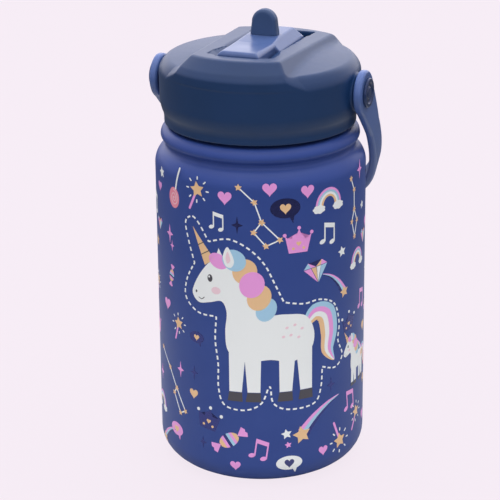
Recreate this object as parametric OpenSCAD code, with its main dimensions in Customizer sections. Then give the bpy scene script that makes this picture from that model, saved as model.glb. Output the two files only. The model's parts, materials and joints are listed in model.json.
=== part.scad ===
// Kids' insulated water bottle: a double-walled steel flask, a screw lid with a flip-up straw
// spout, and a carry loop that swings on the lid.
// Millimetres, +Z up. The origin is the centre of the base, on the surface the bottle stands on.
// The front of the lid faces -Y, and the carry loop swings about an axis along X.

/* [Flask] */
// Outer radius of the flask's straight wall
body_r = 36.5; // [32:0.5:44]
// Height at which the straight wall ends and the shoulder begins
body_h = 109.5; // [85:0.5:180]
// Radius of the rounded corner round the base
base_corner_r = 9.2; // [5:0.1:12]
// Inner radius of the flat ring that the flask stands on
foot_in_r = 23.5; // [16:0.5:25]
// Depth of the recess under the base
foot_recess = 2.2; // [1.5:0.1:3]
// Thickness of each pressed steel wall
steel_wall = 0.7; // [0.5:0.1:0.9]
// Width of the vacuum gap between the two walls
vacuum_gap = 1.9; // [1.2:0.1:3]
// Height of the flask's neck above the bead
neck_h = 13.3; // [12:0.1:18]
// Outer radius of the neck, below its thread
neck_r = 28.6; // [24:0.1:34]

/* [Thread] */
// Rise of the lid in one turn
thread_lead = 4; // [3:0.5:6]
// Turns of thread on the neck and in the lid
thread_turns = 1.25; // [1:0.25:1.5]
// Height of the thread ridge
thread_h = 1; // [0.6:0.1:1.2]
// Radial clearance between the neck's thread and the lid
thread_gap = 0.4; // [0.2:0.05:0.6]

/* [Lid] */
// Wall of the threaded core
core_wall = 1.2; // [1:0.1:2]
// Wall of the lid's skirt
skirt_wall = 1.6; // [1.2:0.1:2.4]
// How far the lid's band stands out beyond the skirt
band_step = 1.4; // [0.8:0.1:2]
// Height of the skirt below its bevel
skirt_h = 3.2; // [2:0.1:5]
// Height of the bevel between skirt and band
bevel_h = 3.3; // [2:0.1:5]
// Height from the bottom of the skirt to the top of the band
band_top_h = 18.5; // [17.8:0.1:22]
// Height of the rounded rim above the band
rim_h = 4.6; // [4:0.1:6]
// Slope of the lid's two low wings
wing_slope = 5; // [2:0.5:8]
// Thickness of the lid's top
top_wall = 2.2; // [1.8:0.1:3]
// Half-width of the raised bar across its top
bar_half = 15.5; // [14:0.1:17]
// Slope of the bar's long sides
bar_side_slope = 49; // [35:1:60]
// Height of the bar's front edge above the top of the band
bar_rise = 8.7; // [7.5:0.1:10]
// Depth of the bar's sloping front panel, along the radius
panel_depth = 5.9; // [5:0.1:8]
// Slope of the bar's top, down towards the back
bar_top_slope = 2.5; // [0:0.5:4]

/* [Flip spout] */
// Radius of the spout's hub
hub_r = 4.6; // [4.2:0.1:5]
// Half-width of the hub
hub_half = 5.4; // [4.6:0.1:6]
// Half-width of the carrier's flat top
carrier_top_half = 6; // [5.5:0.1:6.5]
// Half-width of the carrier at its foot
carrier_half = 9.2; // [8.6:0.1:9.6]
// Half-width of the carrier's narrower front, where the fingers reach it
carrier_front_half = 7.3; // [6.8:0.1:7.8]
// Slope of the carrier's bevelled sides
carrier_bevel = 45; // [38:1:52]
// How far the narrower front ends before the middle of the lid
grip_back = 5; // [3:0.5:8]
// Gap on each side between the carrier and the lid
carrier_gap = 0.3; // [0.2:0.05:0.6]
// Radius of each steel pin that the hub turns on
spout_pin_r = 1.25; // [1:0.05:1.6]
// Outer radius of the soft mouthpiece
mouth_r = 3.3; // [2.9:0.1:3.7]
// Radius of the drinking passage
flow_r = 1.9; // [1.4:0.1:2.2]
// Height of the thumb tab above the carrier
tab_h = 8.8; // [6:0.1:12]
// Half-width of the thumb tab at its foot
tab_half = 4.8; // [3.5:0.05:5.2]
// Thickness of the thumb tab
tab_thick = 4.6; // [3.5:0.1:6]

/* [Straw] */
// Outer radius of the straw
straw_r = 3.3; // [2.8:0.1:3.8]
// Wall of the straw
straw_wall = 0.8; // [0.6:0.1:1.2]
// Gap between the foot of the straw and the floor of the flask
straw_floor_gap = 3; // [2:0.5:8]
// Wall of the silicone straw connector
connector_wall = 0.9; // [0.7:0.1:1.4]

/* [Carry loop] */
// Thickness of the carry loop's strap
loop_thick = 2.9; // [2.4:0.1:4]
// Width of the strap
loop_width = 9; // [7:0.5:12]
// Radius of the round ear at each end of the strap
ear_r = 7.5; // [6.5:0.1:9]
// Angle of the loop below level when it hangs behind the flask
loop_hang = 50; // [46:1:54]
// Radius of the pivot pins' shanks
pivot_pin_r = 3; // [2.4:0.1:3.6]
// Radius of the pivot pins' round heads
pivot_head_r = 5; // [4.4:0.1:6]
// Thickness of the pivot pins' heads
pivot_head_h = 0.9; // [0.6:0.1:1.5]

/* [Clearances] */
// Radial clearance of a pin that turns in its hole
running_gap = 0.05; // [0.02:0.01:0.09]
// Gap between fixed pieces that seat on each other
seat_gap = 0.05; // [0.02:0.01:0.1]
// Gap between pieces that move past each other
moving_gap = 0.3; // [0.25:0.05:0.5]

/* [Hidden] */
$fn = 96;
eps = 0.01;

// Flask, worked out upwards from the shoulder
core_in_r = neck_r + thread_h + thread_gap;
core_out_r = core_in_r + core_wall;
skirt_in_r = core_out_r + 0.2;
skirt_r = skirt_in_r + skirt_wall;
band_r = skirt_r + band_step;
groove_r = skirt_r - 0.1;
groove_z = body_h + 7;
bead_r = skirt_r + 1.5;
bead_z = body_h + 10.7;
bead_top_z = body_h + 13.4;
rim_z = bead_top_z + neck_h;
shoulder_drop = 3.9;
wall_in_r = body_r - steel_wall;
liner_r = wall_in_r - vacuum_gap;
liner_in_r = liner_r - steel_wall;
liner_floor_z = foot_recess + 3.4;
liner_corner_r = 8;
liner_neck_r = neck_r - steel_wall - seat_gap;
mouth_in_r = liner_neck_r - steel_wall;
rim_lip_h = 0.35;
liner_top_z = body_h - 5;
liner_neck_z = body_h + 8;
plate_r = foot_in_r - steel_wall;
getter_r = 5;
getter_h = 1.2;
seal_dot_r = 2.6;
seal_dot_h = 0.9;

// Lid, worked out upwards from the bead
lid_z = bead_top_z + 0.6;
core_z = lid_z + 0.5;
band_z = lid_z + skirt_h + bevel_h;
band_top_z = lid_z + band_top_h;
wing_z = band_top_z + rim_h;
wing_r = band_r - 3;
gasket_h = 1.5;
gasket_z = rim_z + 0.1;
core_top_z = gasket_z + gasket_h + 0.1;
core_plate = 1.8;
tub_floor_z = core_top_z + core_plate + seat_gap;
tub_floor = 2.2;
pocket_z = tub_floor_z + tub_floor;
panel_top_r = band_r - panel_depth;
panel_top_z = band_top_z + bar_rise;
panel_foot_r = band_r - 0.4;
pocket_front = panel_top_r - 6;
pocket_back = panel_top_r - 1.8;
pocket_half = carrier_half + carrier_gap;
pocket_front_half = carrier_front_half + carrier_gap;
well_half = 10.8;
scoop_half = 11.2;
scoop_z = panel_top_z - 1.7;
rail_bevel = 0.8;

// Flip spout
hub_y = band_r - 16.9;
hub_z = tub_floor_z + 2.1 + hub_r;
lobe_r = spout_pin_r + 1.45;
carrier_top_z = hub_z + hub_r + 0.9;
carrier_foot_z = hub_z + 0.4;
lip_y = 1 - pocket_front;
lip_r = 1.5;
cover_wall = 1.4;
cover_in_half = carrier_top_half - cover_wall;
mouth_flare_r = mouth_r + 0.55;
cover_in_z = hub_z + mouth_flare_r + 0.15;
ramp_front = lip_y + 2.6;
ramp_low_y = -5;
ramp_depth = 0.55;
tab_y = 3;
tab_root_half = 2.4;
tab_root = 0.9;
nipple_r = flow_r + 0.75;
mouth_front = lip_y + 1;
mouth_back = hub_y - hub_r - 1;
nipple_front = mouth_back - 7;
spout_pin_in = hub_half + 1;
spout_pin_out = pocket_half + 2.8;
tub_half = spout_pin_out + 0.8;

// Straw and seals
straw_z = liner_floor_z + steel_wall + straw_floor_gap;
connector_r = straw_r + running_gap + connector_wall;
socket_r = connector_r + running_gap + 1.3;
socket_z = core_top_z - 10;
connector_top_z = core_top_z - seat_gap;
straw_top_z = connector_top_z - 1.5;
seal_r = flow_r + 2;
vent_x = -tub_half - 4;
vent_y = -8;
vent_hole_r = 1.2;
vent_cap_r = 3.2;

// Carry loop
pivot_z = lid_z + 12.5;
ear_in_x = max(band_r + 0.9, body_r - 1.2);
ear_out_x = ear_in_x + loop_thick;
boss_x = ear_in_x - moving_gap;
boss_r = 6;
pivot_bore_x = skirt_in_r + 0.8;
loop_body_gap = 1.2;
loop_reach = (body_r + loop_body_gap + loop_width / 2 * sin(loop_hang)) / cos(loop_hang);
loop_square = 3;
taper_end = 20;

paint = [0.24, 0.32, 0.58];
steel = [0.78, 0.79, 0.8];
lid_colour = [0.17, 0.24, 0.38];
light_blue = [0.55, 0.63, 0.79];
mid_blue = [0.33, 0.43, 0.65];
clear_grey = [0.85, 0.87, 0.9];

// Points of an arc in the r-z plane, both ends included
function arc(r, z, radius, from, to, steps) =
    [for (i = [0 : steps]) let (a = from + (to - from) * i / steps) [r + radius * cos(a), z + radius * sin(a)]];

// The outer outline of the flask from the foot ring to the top of the bead
flask_outline = concat(
    [[foot_in_r, 0]],
    arc(body_r - base_corner_r, base_corner_r, base_corner_r, -90, 0, 12),
    arc(body_r - shoulder_drop, body_h, shoulder_drop, 0, 55, 6),
    [[groove_r + 0.35, groove_z - 0.9]],
    [[groove_r, groove_z], [groove_r + 0.25, groove_z + 0.6]],
    arc(bead_r - 2.5, bead_z, 2.5, -50, 72, 12),
    [[bead_r - 2.4, bead_top_z]]);

// The same outline moved inwards by the wall, by its own normals
function inset(points, i, wall) =
    let (before = points[max(i - 1, 0)], after = points[min(i + 1, len(points) - 1)],
         along = after - before, size = norm(along))
    points[i] + [-along[1], along[0]] / size * wall;

// One thread ridge as a swept band; the ridge fades out at both ends
module thread_ridge(root_r, crest_r, z, root_w, crest_w) {
    steps = ceil(thread_turns * 60);
    fade = 5;
    function height(i) = min(1, (i + 0.2) / fade, (steps - i + 0.2) / fade);
    function ring(i) = let (a = thread_turns * 360 * i / steps, mid = z + thread_lead * a / 360,
                            r = root_r + (crest_r - root_r) * height(i))
        [[root_r * cos(a), root_r * sin(a), mid - root_w / 2],
         [r * cos(a), r * sin(a), mid - crest_w / 2],
         [r * cos(a), r * sin(a), mid + crest_w / 2],
         [root_r * cos(a), root_r * sin(a), mid + root_w / 2]];
    points = [for (i = [0 : steps]) each ring(i)];
    sides = [for (i = [0 : steps - 1], j = [0 : 3]) let (a = 4 * i + j, b = 4 * i + (j + 1) % 4)
             each [[a, b, b + 4], [a, b + 4, a + 4]]];
    ends = [[0, 2, 1], [0, 3, 2], [4 * steps, 4 * steps + 1, 4 * steps + 2],
            [4 * steps, 4 * steps + 2, 4 * steps + 3]];
    faces = concat(sides, ends);
    polyhedron(points, crest_r > root_r ? faces : [for (f = faces) [f[2], f[1], f[0]]]);
}

// Outer steel wall: foot ring, straight side, shoulder, groove, bead and threaded neck
module outer_shell() {
    last = len(flask_outline) - 1;
    inner = [for (i = [last : -1 : 1]) inset(flask_outline, i, steel_wall)];
    plate_seat_r = foot_in_r - steel_wall;
    color(paint) {
        rotate_extrude()
            polygon(concat(flask_outline, inner, [[foot_in_r + 1.2, steel_wall],
                    [foot_in_r + 0.9, foot_recess + steel_wall], [plate_seat_r, foot_recess + steel_wall],
                    [plate_seat_r, foot_recess]]));
        difference() {
            union() {
                translate([0, 0, bead_top_z - steel_wall])
                    cylinder(r = bead_r - 2.4, h = steel_wall);
                translate([0, 0, bead_top_z - eps])
                    cylinder(r = neck_r, h = neck_h - rim_lip_h);
            }
            cylinder(r = neck_r - steel_wall, h = rim_z + 1);
        }
        thread_ridge(neck_r - 0.3, neck_r + thread_h, bead_top_z + 3.6, 1.8, 0.8);
    }
}

// Inner steel wall, welded to the outer one at the rim
module inner_liner() {
    outer = concat([[0, liner_floor_z]],
        arc(liner_r - liner_corner_r, liner_floor_z + liner_corner_r, liner_corner_r, -90, 0, 8),
        [[liner_r, liner_top_z], [liner_neck_r, liner_neck_z], [liner_neck_r, rim_z - rim_lip_h + eps],
         [neck_r, rim_z - rim_lip_h + eps], [neck_r, rim_z]]);
    inner = concat([[mouth_in_r, rim_z], [mouth_in_r, liner_neck_z - 0.2],
         [liner_in_r, liner_top_z - 0.2]],
        arc(liner_r - liner_corner_r, liner_floor_z + liner_corner_r,
            liner_corner_r - steel_wall, 0, -90, 8),
        [[0, liner_floor_z + steel_wall]]);
    color(steel)
        rotate_extrude()
            polygon(concat(outer, inner));
}

// Pressed plate that closes the base, seated inside the foot ring
module base_plate() {
    color(paint)
        difference() {
            translate([0, 0, foot_recess])
                cylinder(r = plate_r - seat_gap, h = steel_wall);
            translate([0, 0, foot_recess - 1])
                cylinder(r = 1, h = 3);
        }
}

// Getter pill fixed on the base plate, inside the vacuum
module vacuum_getter() {
    color("silver")
        translate([plate_r / 2, 0, foot_recess + steel_wall])
            cylinder(r = getter_r, h = getter_h);
}

// Bead of solder that seals the plate's evacuation hole
module vacuum_seal() {
    color("dimgray")
        translate([0, 0, foot_recess - seal_dot_h])
            cylinder(r1 = seal_dot_r - 0.6, r2 = seal_dot_r, h = seal_dot_h);
}

// Silicone ring between the neck's rim and the lid
module lid_gasket() {
    color("white")
        translate([0, 0, gasket_z])
            difference() {
                cylinder(r = core_in_r - moving_gap, h = gasket_h);
                translate([0, 0, -1])
                    cylinder(r = mouth_in_r + 0.4, h = gasket_h + 2);
            }
}

// The lid's outline below its wings: skirt, bevel, band and rounded rim
lid_outline = concat(
    [[0, lid_z], [skirt_r - 0.4, lid_z], [skirt_r, lid_z + 0.4], [skirt_r, lid_z + skirt_h],
     [band_r - 0.45, band_z - 0.7], [band_r, band_z]],
    [[band_r + 0.1, band_top_z - 1.2]]);
wing_outline = concat(lid_outline, arc(wing_r - 1.6, band_top_z, 4.7, 0, 76, 8),
    [[wing_r - 0.6, wing_z], [0, wing_z + (wing_r - 0.6) * tan(wing_slope)]]);
bar_outline = concat(lid_outline,
    arc(panel_foot_r - 1.9, band_top_z + 2.6, 2.3, 10, 52, 4),
    [[panel_top_r, panel_top_z], [0, panel_top_z + 2]]);

// The raised bar's long body, cut to its sloping top
module bar_body() {
    foot_half = bar_half + (panel_top_z - lid_z) / tan(bar_side_slope);
    intersection() {
        rotate_extrude()
            polygon(bar_outline);
        rotate([90, 0, 0])
            linear_extrude(height = 3 * band_r, center = true)
                polygon([[-foot_half, lid_z], [foot_half, lid_z],
                         [bar_half, panel_top_z], [bar_half, panel_top_z + 4],
                         [-bar_half, panel_top_z + 4], [-bar_half, panel_top_z]]);
        translate([0, -panel_top_r * cos(33), panel_top_z])
            rotate([-bar_top_slope, 0, 0])
                translate([-band_r, -2 * band_r, -60])
                    cube([2 * band_r, 4 * band_r, 60]);
    }
}

// The pocket that the flip spout lies in, open at the top
module spout_pocket() {
    // Deep slot for the carrier and its mouthpiece, narrower at the front
    translate([-pocket_front_half, -pocket_front, pocket_z])
        cube([2 * pocket_front_half, pocket_front + hub_y, 20]);
    translate([-pocket_half, -grip_back - carrier_gap, pocket_z])
        cube([2 * pocket_half, hub_y + grip_back + carrier_gap, 20]);
    // Wider well behind the hub
    translate([-well_half, hub_y + spout_pin_r + 0.8, pocket_z + 1])
        cube([2 * well_half, pocket_back - hub_y - spout_pin_r - 0.8, 20]);
    // Round clearance for the hub and for the two lobes beside it
    translate([-hub_half - carrier_gap, hub_y, hub_z])
        rotate([0, 90, 0])
            cylinder(r = hub_r + moving_gap, h = 2 * (hub_half + carrier_gap));
    translate([-hub_half - carrier_gap, hub_y, hub_z])
        cube([2 * (hub_half + carrier_gap), hub_r + moving_gap, 20]);
    translate([-pocket_half, hub_y, hub_z])
        rotate([0, 90, 0])
            cylinder(r = lobe_r + moving_gap, h = 2 * pocket_half);
    translate([-pocket_half, hub_y, hub_z])
        cube([2 * pocket_half, lobe_r + moving_gap, 20]);
    // Finger scoops beside the narrower front
    intersection() {
        translate([0, 0, scoop_z])
            linear_extrude(height = 20)
                polygon([[-pocket_half, -grip_back - carrier_gap], [pocket_half, -grip_back - carrier_gap],
                         [scoop_half, 8 - pocket_front], [scoop_half, -pocket_front - 1],
                         [-scoop_half, -pocket_front - 1], [-scoop_half, 8 - pocket_front]]);
        translate([0, 0, scoop_z])
            cylinder(r = pocket_front + 0.2, h = 20);
    }
    // Bevel along the rails' inner edges
    translate([0, -panel_top_r * cos(33), panel_top_z])
        rotate([90 - bar_top_slope, 0, 0])
            translate([0, 0, -panel_top_r * cos(33) - hub_y - 2])
                linear_extrude(height = hub_y + 2 + grip_back)
                    polygon([[-pocket_half, -rail_bevel], [pocket_half, -rail_bevel],
                             [pocket_half + 1.4 * rail_bevel, 0.1], [-pocket_half - 1.4 * rail_bevel, 0.1]]);
}

// Outer moulding of the lid: skirt, band, wings, raised bar and the bosses for the carry loop
module lid_shell() {
    color(lid_colour)
        difference() {
            union() {
                difference() {
                    union() {
                        rotate_extrude()
                            polygon(wing_outline);
                        bar_body();
                        translate([-boss_x, 0, pivot_z])
                            rotate([0, 90, 0])
                                cylinder(r = boss_r, h = 2 * boss_x);
                    }
                    rotate_extrude()
                        polygon([[0, lid_z - 1], [skirt_in_r, lid_z - 1], [skirt_in_r, band_top_z - 1],
                                 [wing_r - 3, wing_z - top_wall],
                                 [0, wing_z - top_wall + wing_r * tan(wing_slope) * 0.8]]);
                }
                // Walls and floor of the spout's pocket
                intersection() {
                    bar_body();
                    translate([-tub_half, -pocket_front - top_wall, tub_floor_z])
                        cube([2 * tub_half, pocket_front + pocket_back + 2 * top_wall, 20]);
                }
            }
            spout_pocket();
            // Seat of the seal under the hub
            translate([0, hub_y, tub_floor_z - 1])
                cylinder(r = seal_r + seat_gap, h = tub_floor + 2);
            // Holes for the spout's pins
            translate([-spout_pin_out - seat_gap, hub_y, hub_z])
                rotate([0, 90, 0])
                    cylinder(r = spout_pin_r + seat_gap, h = 2 * (spout_pin_out + seat_gap));
            // Blind holes for the carry loop's pins
            for (side = [-1, 1])
                translate([side * (pivot_bore_x + boss_x + 1) / 2, 0, pivot_z])
                    rotate([0, 90, 0])
                        cylinder(r = pivot_pin_r + seat_gap, h = boss_x + 1 - pivot_bore_x, center = true);
        }
}

// Threaded core of the lid, with the straw's socket and the air vent
module lid_core() {
    color(lid_colour)
        difference() {
            union() {
                difference() {
                    translate([0, 0, core_z])
                        cylinder(r = core_out_r, h = core_top_z + core_plate - core_z);
                    translate([0, 0, core_z - 1])
                        cylinder(r = core_in_r, h = core_top_z - core_z + 1);
                }
                thread_ridge(core_in_r + 0.3, neck_r + thread_gap,
                             bead_top_z + 3.6 - thread_lead / 2 + 0.1, 1.8, 0.8);
                translate([0, hub_y, socket_z])
                    cylinder(r = socket_r, h = core_top_z - socket_z + eps);
            }
            translate([0, hub_y, socket_z - 1])
                cylinder(r = connector_r + running_gap, h = core_top_z - socket_z + 1);
            translate([0, hub_y, core_top_z - 1])
                cylinder(r = flow_r, h = core_plate + 2);
            translate([vent_x, vent_y, core_top_z - 1])
                cylinder(r = vent_hole_r, h = core_plate + 2);
        }
}

// Umbrella valve that lets air in as the child drinks
module vent_valve() {
    color("white") {
        translate([vent_x, vent_y, core_top_z - 1])
            cylinder(r1 = vent_cap_r - 0.8, r2 = vent_cap_r, h = 1);
        translate([vent_x, vent_y, core_top_z - eps])
            cylinder(r = vent_hole_r - seat_gap, h = core_plate + 0.6);
        translate([vent_x, vent_y, core_top_z + core_plate])
            cylinder(r1 = vent_hole_r + 0.5, r2 = vent_hole_r, h = 0.8);
    }
}

// Silicone collar that seals the passage under the hub
module spout_seal() {
    color("white")
        difference() {
            translate([0, hub_y, core_top_z + core_plate])
                cylinder(r = seal_r, h = 4);
            translate([0, hub_y, core_top_z])
                cylinder(r = flow_r, h = 8);
            translate([-10, hub_y, hub_z])
                rotate([0, 90, 0])
                    cylinder(r = hub_r + moving_gap, h = 20);
        }
}

// Silicone sleeve that grips the straw in its socket
module straw_connector() {
    color("white")
        difference() {
            translate([0, hub_y, socket_z - 0.8])
                cylinder(r = connector_r, h = connector_top_z - socket_z + 0.8);
            translate([0, hub_y, socket_z - 2])
                cylinder(r = straw_r + running_gap, h = straw_top_z - socket_z + 2);
            translate([0, hub_y, socket_z])
                cylinder(r = flow_r, h = 20);
        }
}

// Straw that reaches down to the floor of the flask
module straw() {
    color(clear_grey)
        translate([0, hub_y, straw_z])
            difference() {
                cylinder(r = straw_r, h = straw_top_z - straw_z);
                translate([0, 0, -1])
                    cylinder(r = straw_r - straw_wall, h = straw_top_z - straw_z + 2);
            }
}

// Short steel pin that the hub turns on, one at each end of it
module spout_pin(side) {
    color(steel)
        translate([side * (spout_pin_in + spout_pin_out) / 2, hub_y, hub_z])
            rotate([0, 90, 0])
                cylinder(r = spout_pin_r, h = spout_pin_out - spout_pin_in, center = true);
}

module left_spout_pin() {
    spout_pin(-1);
}

module right_spout_pin() {
    spout_pin(1);
}

// Snap pin with a round head that holds an ear of the carry loop
module pivot_pin(side) {
    head_x = ear_out_x + 0.15;
    color(lid_colour)
        translate([0, 0, pivot_z])
            rotate([0, side * 90, 0]) {
                translate([0, 0, pivot_bore_x + 0.1])
                    cylinder(r = pivot_pin_r, h = head_x - pivot_bore_x);
                translate([0, 0, head_x])
                    cylinder(r = pivot_head_r, h = pivot_head_h * 0.6);
                translate([0, 0, head_x + pivot_head_h * 0.6 - eps])
                    cylinder(r1 = pivot_head_r, r2 = pivot_head_r - 0.6, h = pivot_head_h * 0.4);
            }
}

module left_pivot_pin() {
    pivot_pin(-1);
}

module right_pivot_pin() {
    pivot_pin(1);
}

// Flip spout's carrier: cover, hub and the nipple that the mouthpiece fits on
module spout_carrier() {
    bevel_drop = (carrier_half - carrier_top_half) * tan(carrier_bevel);
    back_y = hub_y + 0.4;
    side_view = concat([[hub_y, carrier_foot_z], [lip_y, carrier_foot_z]],
        [[lip_y, carrier_top_z - lip_r]],
        arc(lip_y + lip_r, carrier_top_z - lip_r, lip_r, 180, 90, 5),
        [[ramp_front, carrier_top_z], [ramp_front + 0.8, carrier_top_z - 0.1],
         [ramp_low_y, carrier_top_z - ramp_depth], [tab_y - 0.6, carrier_top_z - 0.1],
         [tab_y, carrier_top_z], [back_y, carrier_top_z], [hub_y + lobe_r * 0.9, hub_z + lobe_r * 0.44]]);
    color(light_blue)
        difference() {
            union() {
                intersection() {
                    rotate([90, 0, 90])
                        linear_extrude(height = 2 * carrier_half, center = true)
                            polygon(side_view);
                    rotate([90, 0, 0])
                        linear_extrude(height = 4 * band_r, center = true)
                            polygon([[-carrier_half, hub_z - 1], [carrier_half, hub_z - 1],
                                     [carrier_half, carrier_top_z - bevel_drop],
                                     [carrier_top_half, carrier_top_z], [-carrier_top_half, carrier_top_z],
                                     [-carrier_half, carrier_top_z - bevel_drop]]);
                    union() {
                        translate([-carrier_front_half, -2 * band_r, 0])
                            cube([2 * carrier_front_half, 4 * band_r, 2 * carrier_top_z]);
                        translate([-carrier_half - 1, -grip_back, 0])
                            cube([2 * carrier_half + 2, 2 * band_r, 2 * carrier_top_z]);
                    }
                }
                translate([-hub_half, hub_y, hub_z])
                    rotate([0, 90, 0])
                        cylinder(r = hub_r, h = 2 * hub_half);
                translate([-carrier_half, hub_y, hub_z])
                    rotate([0, 90, 0])
                        cylinder(r = lobe_r, h = 2 * carrier_half);
            }
            // Channel that the mouthpiece lies in, open below
            difference() {
                translate([-cover_in_half, lip_y + 0.9, carrier_foot_z - 1])
                    cube([2 * cover_in_half, mouth_back + 0.4 - lip_y - 0.9,
                          cover_in_z - carrier_foot_z + 1]);
                translate([0, mouth_back + 1, hub_z])
                    rotate([90, 0, 0])
                        cylinder(r = nipple_r, h = mouth_back + 1 - nipple_front);
            }
            // Root of the thumb tab
            translate([-tab_root_half - seat_gap, tab_y + 0.8 - seat_gap, carrier_top_z - tab_root])
                cube([2 * (tab_root_half + seat_gap), tab_thick - 1.6 + 2 * seat_gap, 4]);
            // Drinking passage, through the nipple and the hub
            translate([0, hub_y + hub_r + 1, hub_z])
                rotate([90, 0, 0])
                    cylinder(r = flow_r, h = 60);
            // Holes for the two pins
            for (side = [-1, 1])
                translate([side * (carrier_half + 1 + spout_pin_in - 0.3) / 2, hub_y, hub_z])
                    rotate([0, 90, 0])
                        cylinder(r = spout_pin_r + running_gap,
                                 h = carrier_half + 1 - spout_pin_in + 0.3, center = true);
        }
}

// Soft mouthpiece: a tube on the nipple that flares to a rounded bite end
module mouthpiece() {
    color(mid_blue)
        difference() {
            translate([0, mouth_back, hub_z])
                rotate([90, 0, 0])
                    rotate_extrude()
                        polygon(concat([[0, 0], [mouth_r, 0], [mouth_r, mouth_back - mouth_front - 8],
                                [mouth_flare_r, mouth_back - mouth_front - 3.5]],
                            arc(mouth_flare_r - 1.5, mouth_back - mouth_front - 1.5, 1.5, 0, 90, 4),
                            [[0, mouth_back - mouth_front]]));
            translate([0, mouth_back + 1, hub_z])
                rotate([90, 0, 0])
                    cylinder(r = nipple_r + seat_gap, h = mouth_back + 1 - nipple_front + seat_gap);
            translate([0, mouth_back, hub_z])
                rotate([90, 0, 0])
                    cylinder(r = flow_r - 0.4, h = 60);
        }
}

// Soft thumb tab that flips the spout up, keyed into the carrier
module thumb_tab() {
    top_half = tab_half - 0.5;
    mid = tab_y + tab_thick / 2;
    color(mid_blue) {
        intersection() {
            translate([0, mid, 0])
                rotate([90, 0, 0])
                    linear_extrude(height = tab_thick, center = true)
                        union() {
                            polygon([[-tab_half, carrier_top_z], [tab_half, carrier_top_z],
                                     [top_half, carrier_top_z + tab_h - top_half],
                                     [-top_half, carrier_top_z + tab_h - top_half]]);
                            translate([0, carrier_top_z + tab_h - top_half])
                                circle(r = top_half);
                        }
            rotate([90, 0, 90])
                linear_extrude(height = 2 * tab_half + 2, center = true)
                    polygon([[mid - tab_thick / 2, carrier_top_z - 1], [mid + tab_thick / 2, carrier_top_z - 1],
                             [mid + tab_thick / 2 - 0.4, carrier_top_z + tab_h + 1],
                             [mid - tab_thick / 2 + 0.4, carrier_top_z + tab_h + 1]]);
        }
        translate([-tab_root_half, tab_y + 0.8, carrier_top_z - tab_root])
            cube([2 * tab_root_half, tab_thick - 1.6, tab_root + 0.5]);
    }
}

// One ear and the tapering strap behind it, seen along the pivot axis
module strap_side() {
    circle(r = ear_r);
    polygon([[2, -ear_r * 0.96], [taper_end, -loop_width / 2], [loop_reach + 2 * loop_thick, -loop_width / 2],
             [loop_reach + 2 * loop_thick, loop_width / 2], [taper_end, loop_width / 2], [2, ear_r * 0.96]]);
}

// Bow outline of the loop, in its own plane
module loop_outline(half, reach, above) {
    bow = [for (i = [0 : 48]) let (c = cos(180 * i / 48), s = sin(180 * i / 48))
           [half * sign(c) * pow(abs(c), 2 / loop_square), reach * pow(s, 2 / loop_square)]];
    polygon(concat(bow, [[-half, -above], [half, -above]]));
}

// Carry loop, hanging behind the flask
module carry_loop() {
    color(light_blue)
        translate([0, 0, pivot_z])
            rotate([-loop_hang, 0, 0])
                difference() {
                    intersection() {
                        linear_extrude(height = 2 * ear_r + 2, center = true)
                            difference() {
                                loop_outline(ear_out_x, loop_reach + loop_thick, ear_r + 1);
                                loop_outline(ear_in_x, loop_reach, ear_r + 2);
                            }
                        rotate([90, 0, 90])
                            linear_extrude(height = 2 * ear_out_x + 2, center = true)
                                strap_side();
                    }
                    for (side = [-1, 1])
                        translate([side * (ear_in_x + ear_out_x) / 2, 0, 0])
                            rotate([0, 90, 0])
                                cylinder(r = pivot_pin_r + running_gap, h = loop_thick + 2, center = true);
                }
}

outer_shell();
inner_liner();
base_plate();
vacuum_getter();
vacuum_seal();
lid_gasket();
lid_shell();
lid_core();
vent_valve();
spout_seal();
straw_connector();
straw();
left_spout_pin();
right_spout_pin();
left_pivot_pin();
right_pivot_pin();
spout_carrier();
mouthpiece();
thumb_tab();
carry_loop();
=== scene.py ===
import json
import math

import bmesh
import bpy
import numpy as np
from mathutils import Matrix, Vector


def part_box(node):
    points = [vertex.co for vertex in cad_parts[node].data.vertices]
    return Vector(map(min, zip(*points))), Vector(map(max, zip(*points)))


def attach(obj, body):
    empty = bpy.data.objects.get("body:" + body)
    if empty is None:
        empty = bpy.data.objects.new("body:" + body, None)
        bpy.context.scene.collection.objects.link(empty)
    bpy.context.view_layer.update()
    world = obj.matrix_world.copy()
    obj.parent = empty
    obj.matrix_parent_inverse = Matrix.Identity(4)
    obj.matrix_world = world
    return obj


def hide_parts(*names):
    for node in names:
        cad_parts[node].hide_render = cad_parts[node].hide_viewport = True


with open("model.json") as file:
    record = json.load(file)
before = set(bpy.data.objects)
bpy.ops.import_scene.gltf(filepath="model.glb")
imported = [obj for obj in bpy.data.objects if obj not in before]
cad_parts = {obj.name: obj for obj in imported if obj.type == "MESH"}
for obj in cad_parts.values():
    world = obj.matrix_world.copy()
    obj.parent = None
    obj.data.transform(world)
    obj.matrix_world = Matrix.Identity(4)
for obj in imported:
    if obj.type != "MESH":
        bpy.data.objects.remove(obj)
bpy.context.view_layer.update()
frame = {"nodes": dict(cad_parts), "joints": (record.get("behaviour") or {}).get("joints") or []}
nodes = frame["nodes"]
joints = {joint["name"]: joint for joint in frame["joints"]}
mm = 0.001
print("frame loaded:", len(nodes), "nodes")


# Colours and nodes

def srgb(code):
    channels = [int(code[i:i + 2], 16) / 255 for i in (1, 3, 5)]
    return [c / 12.92 if c <= 0.04045 else ((c + 0.055) / 1.055) ** 2.4 for c in channels] + [1]


def addNode(material, kind, values={}, links={}, **settings):
    node = material.node_tree.nodes.new(kind)
    for name, value in settings.items():
        setattr(node, name, value)
    for name, value in values.items():
        node.inputs[name].default_value = value
    for name, socket in links.items():
        material.node_tree.links.new(socket, node.inputs[name])
    return node


def perMetre(sizeMm):
    return 1000 / sizeMm            # noise scale for a grain of this size


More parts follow.
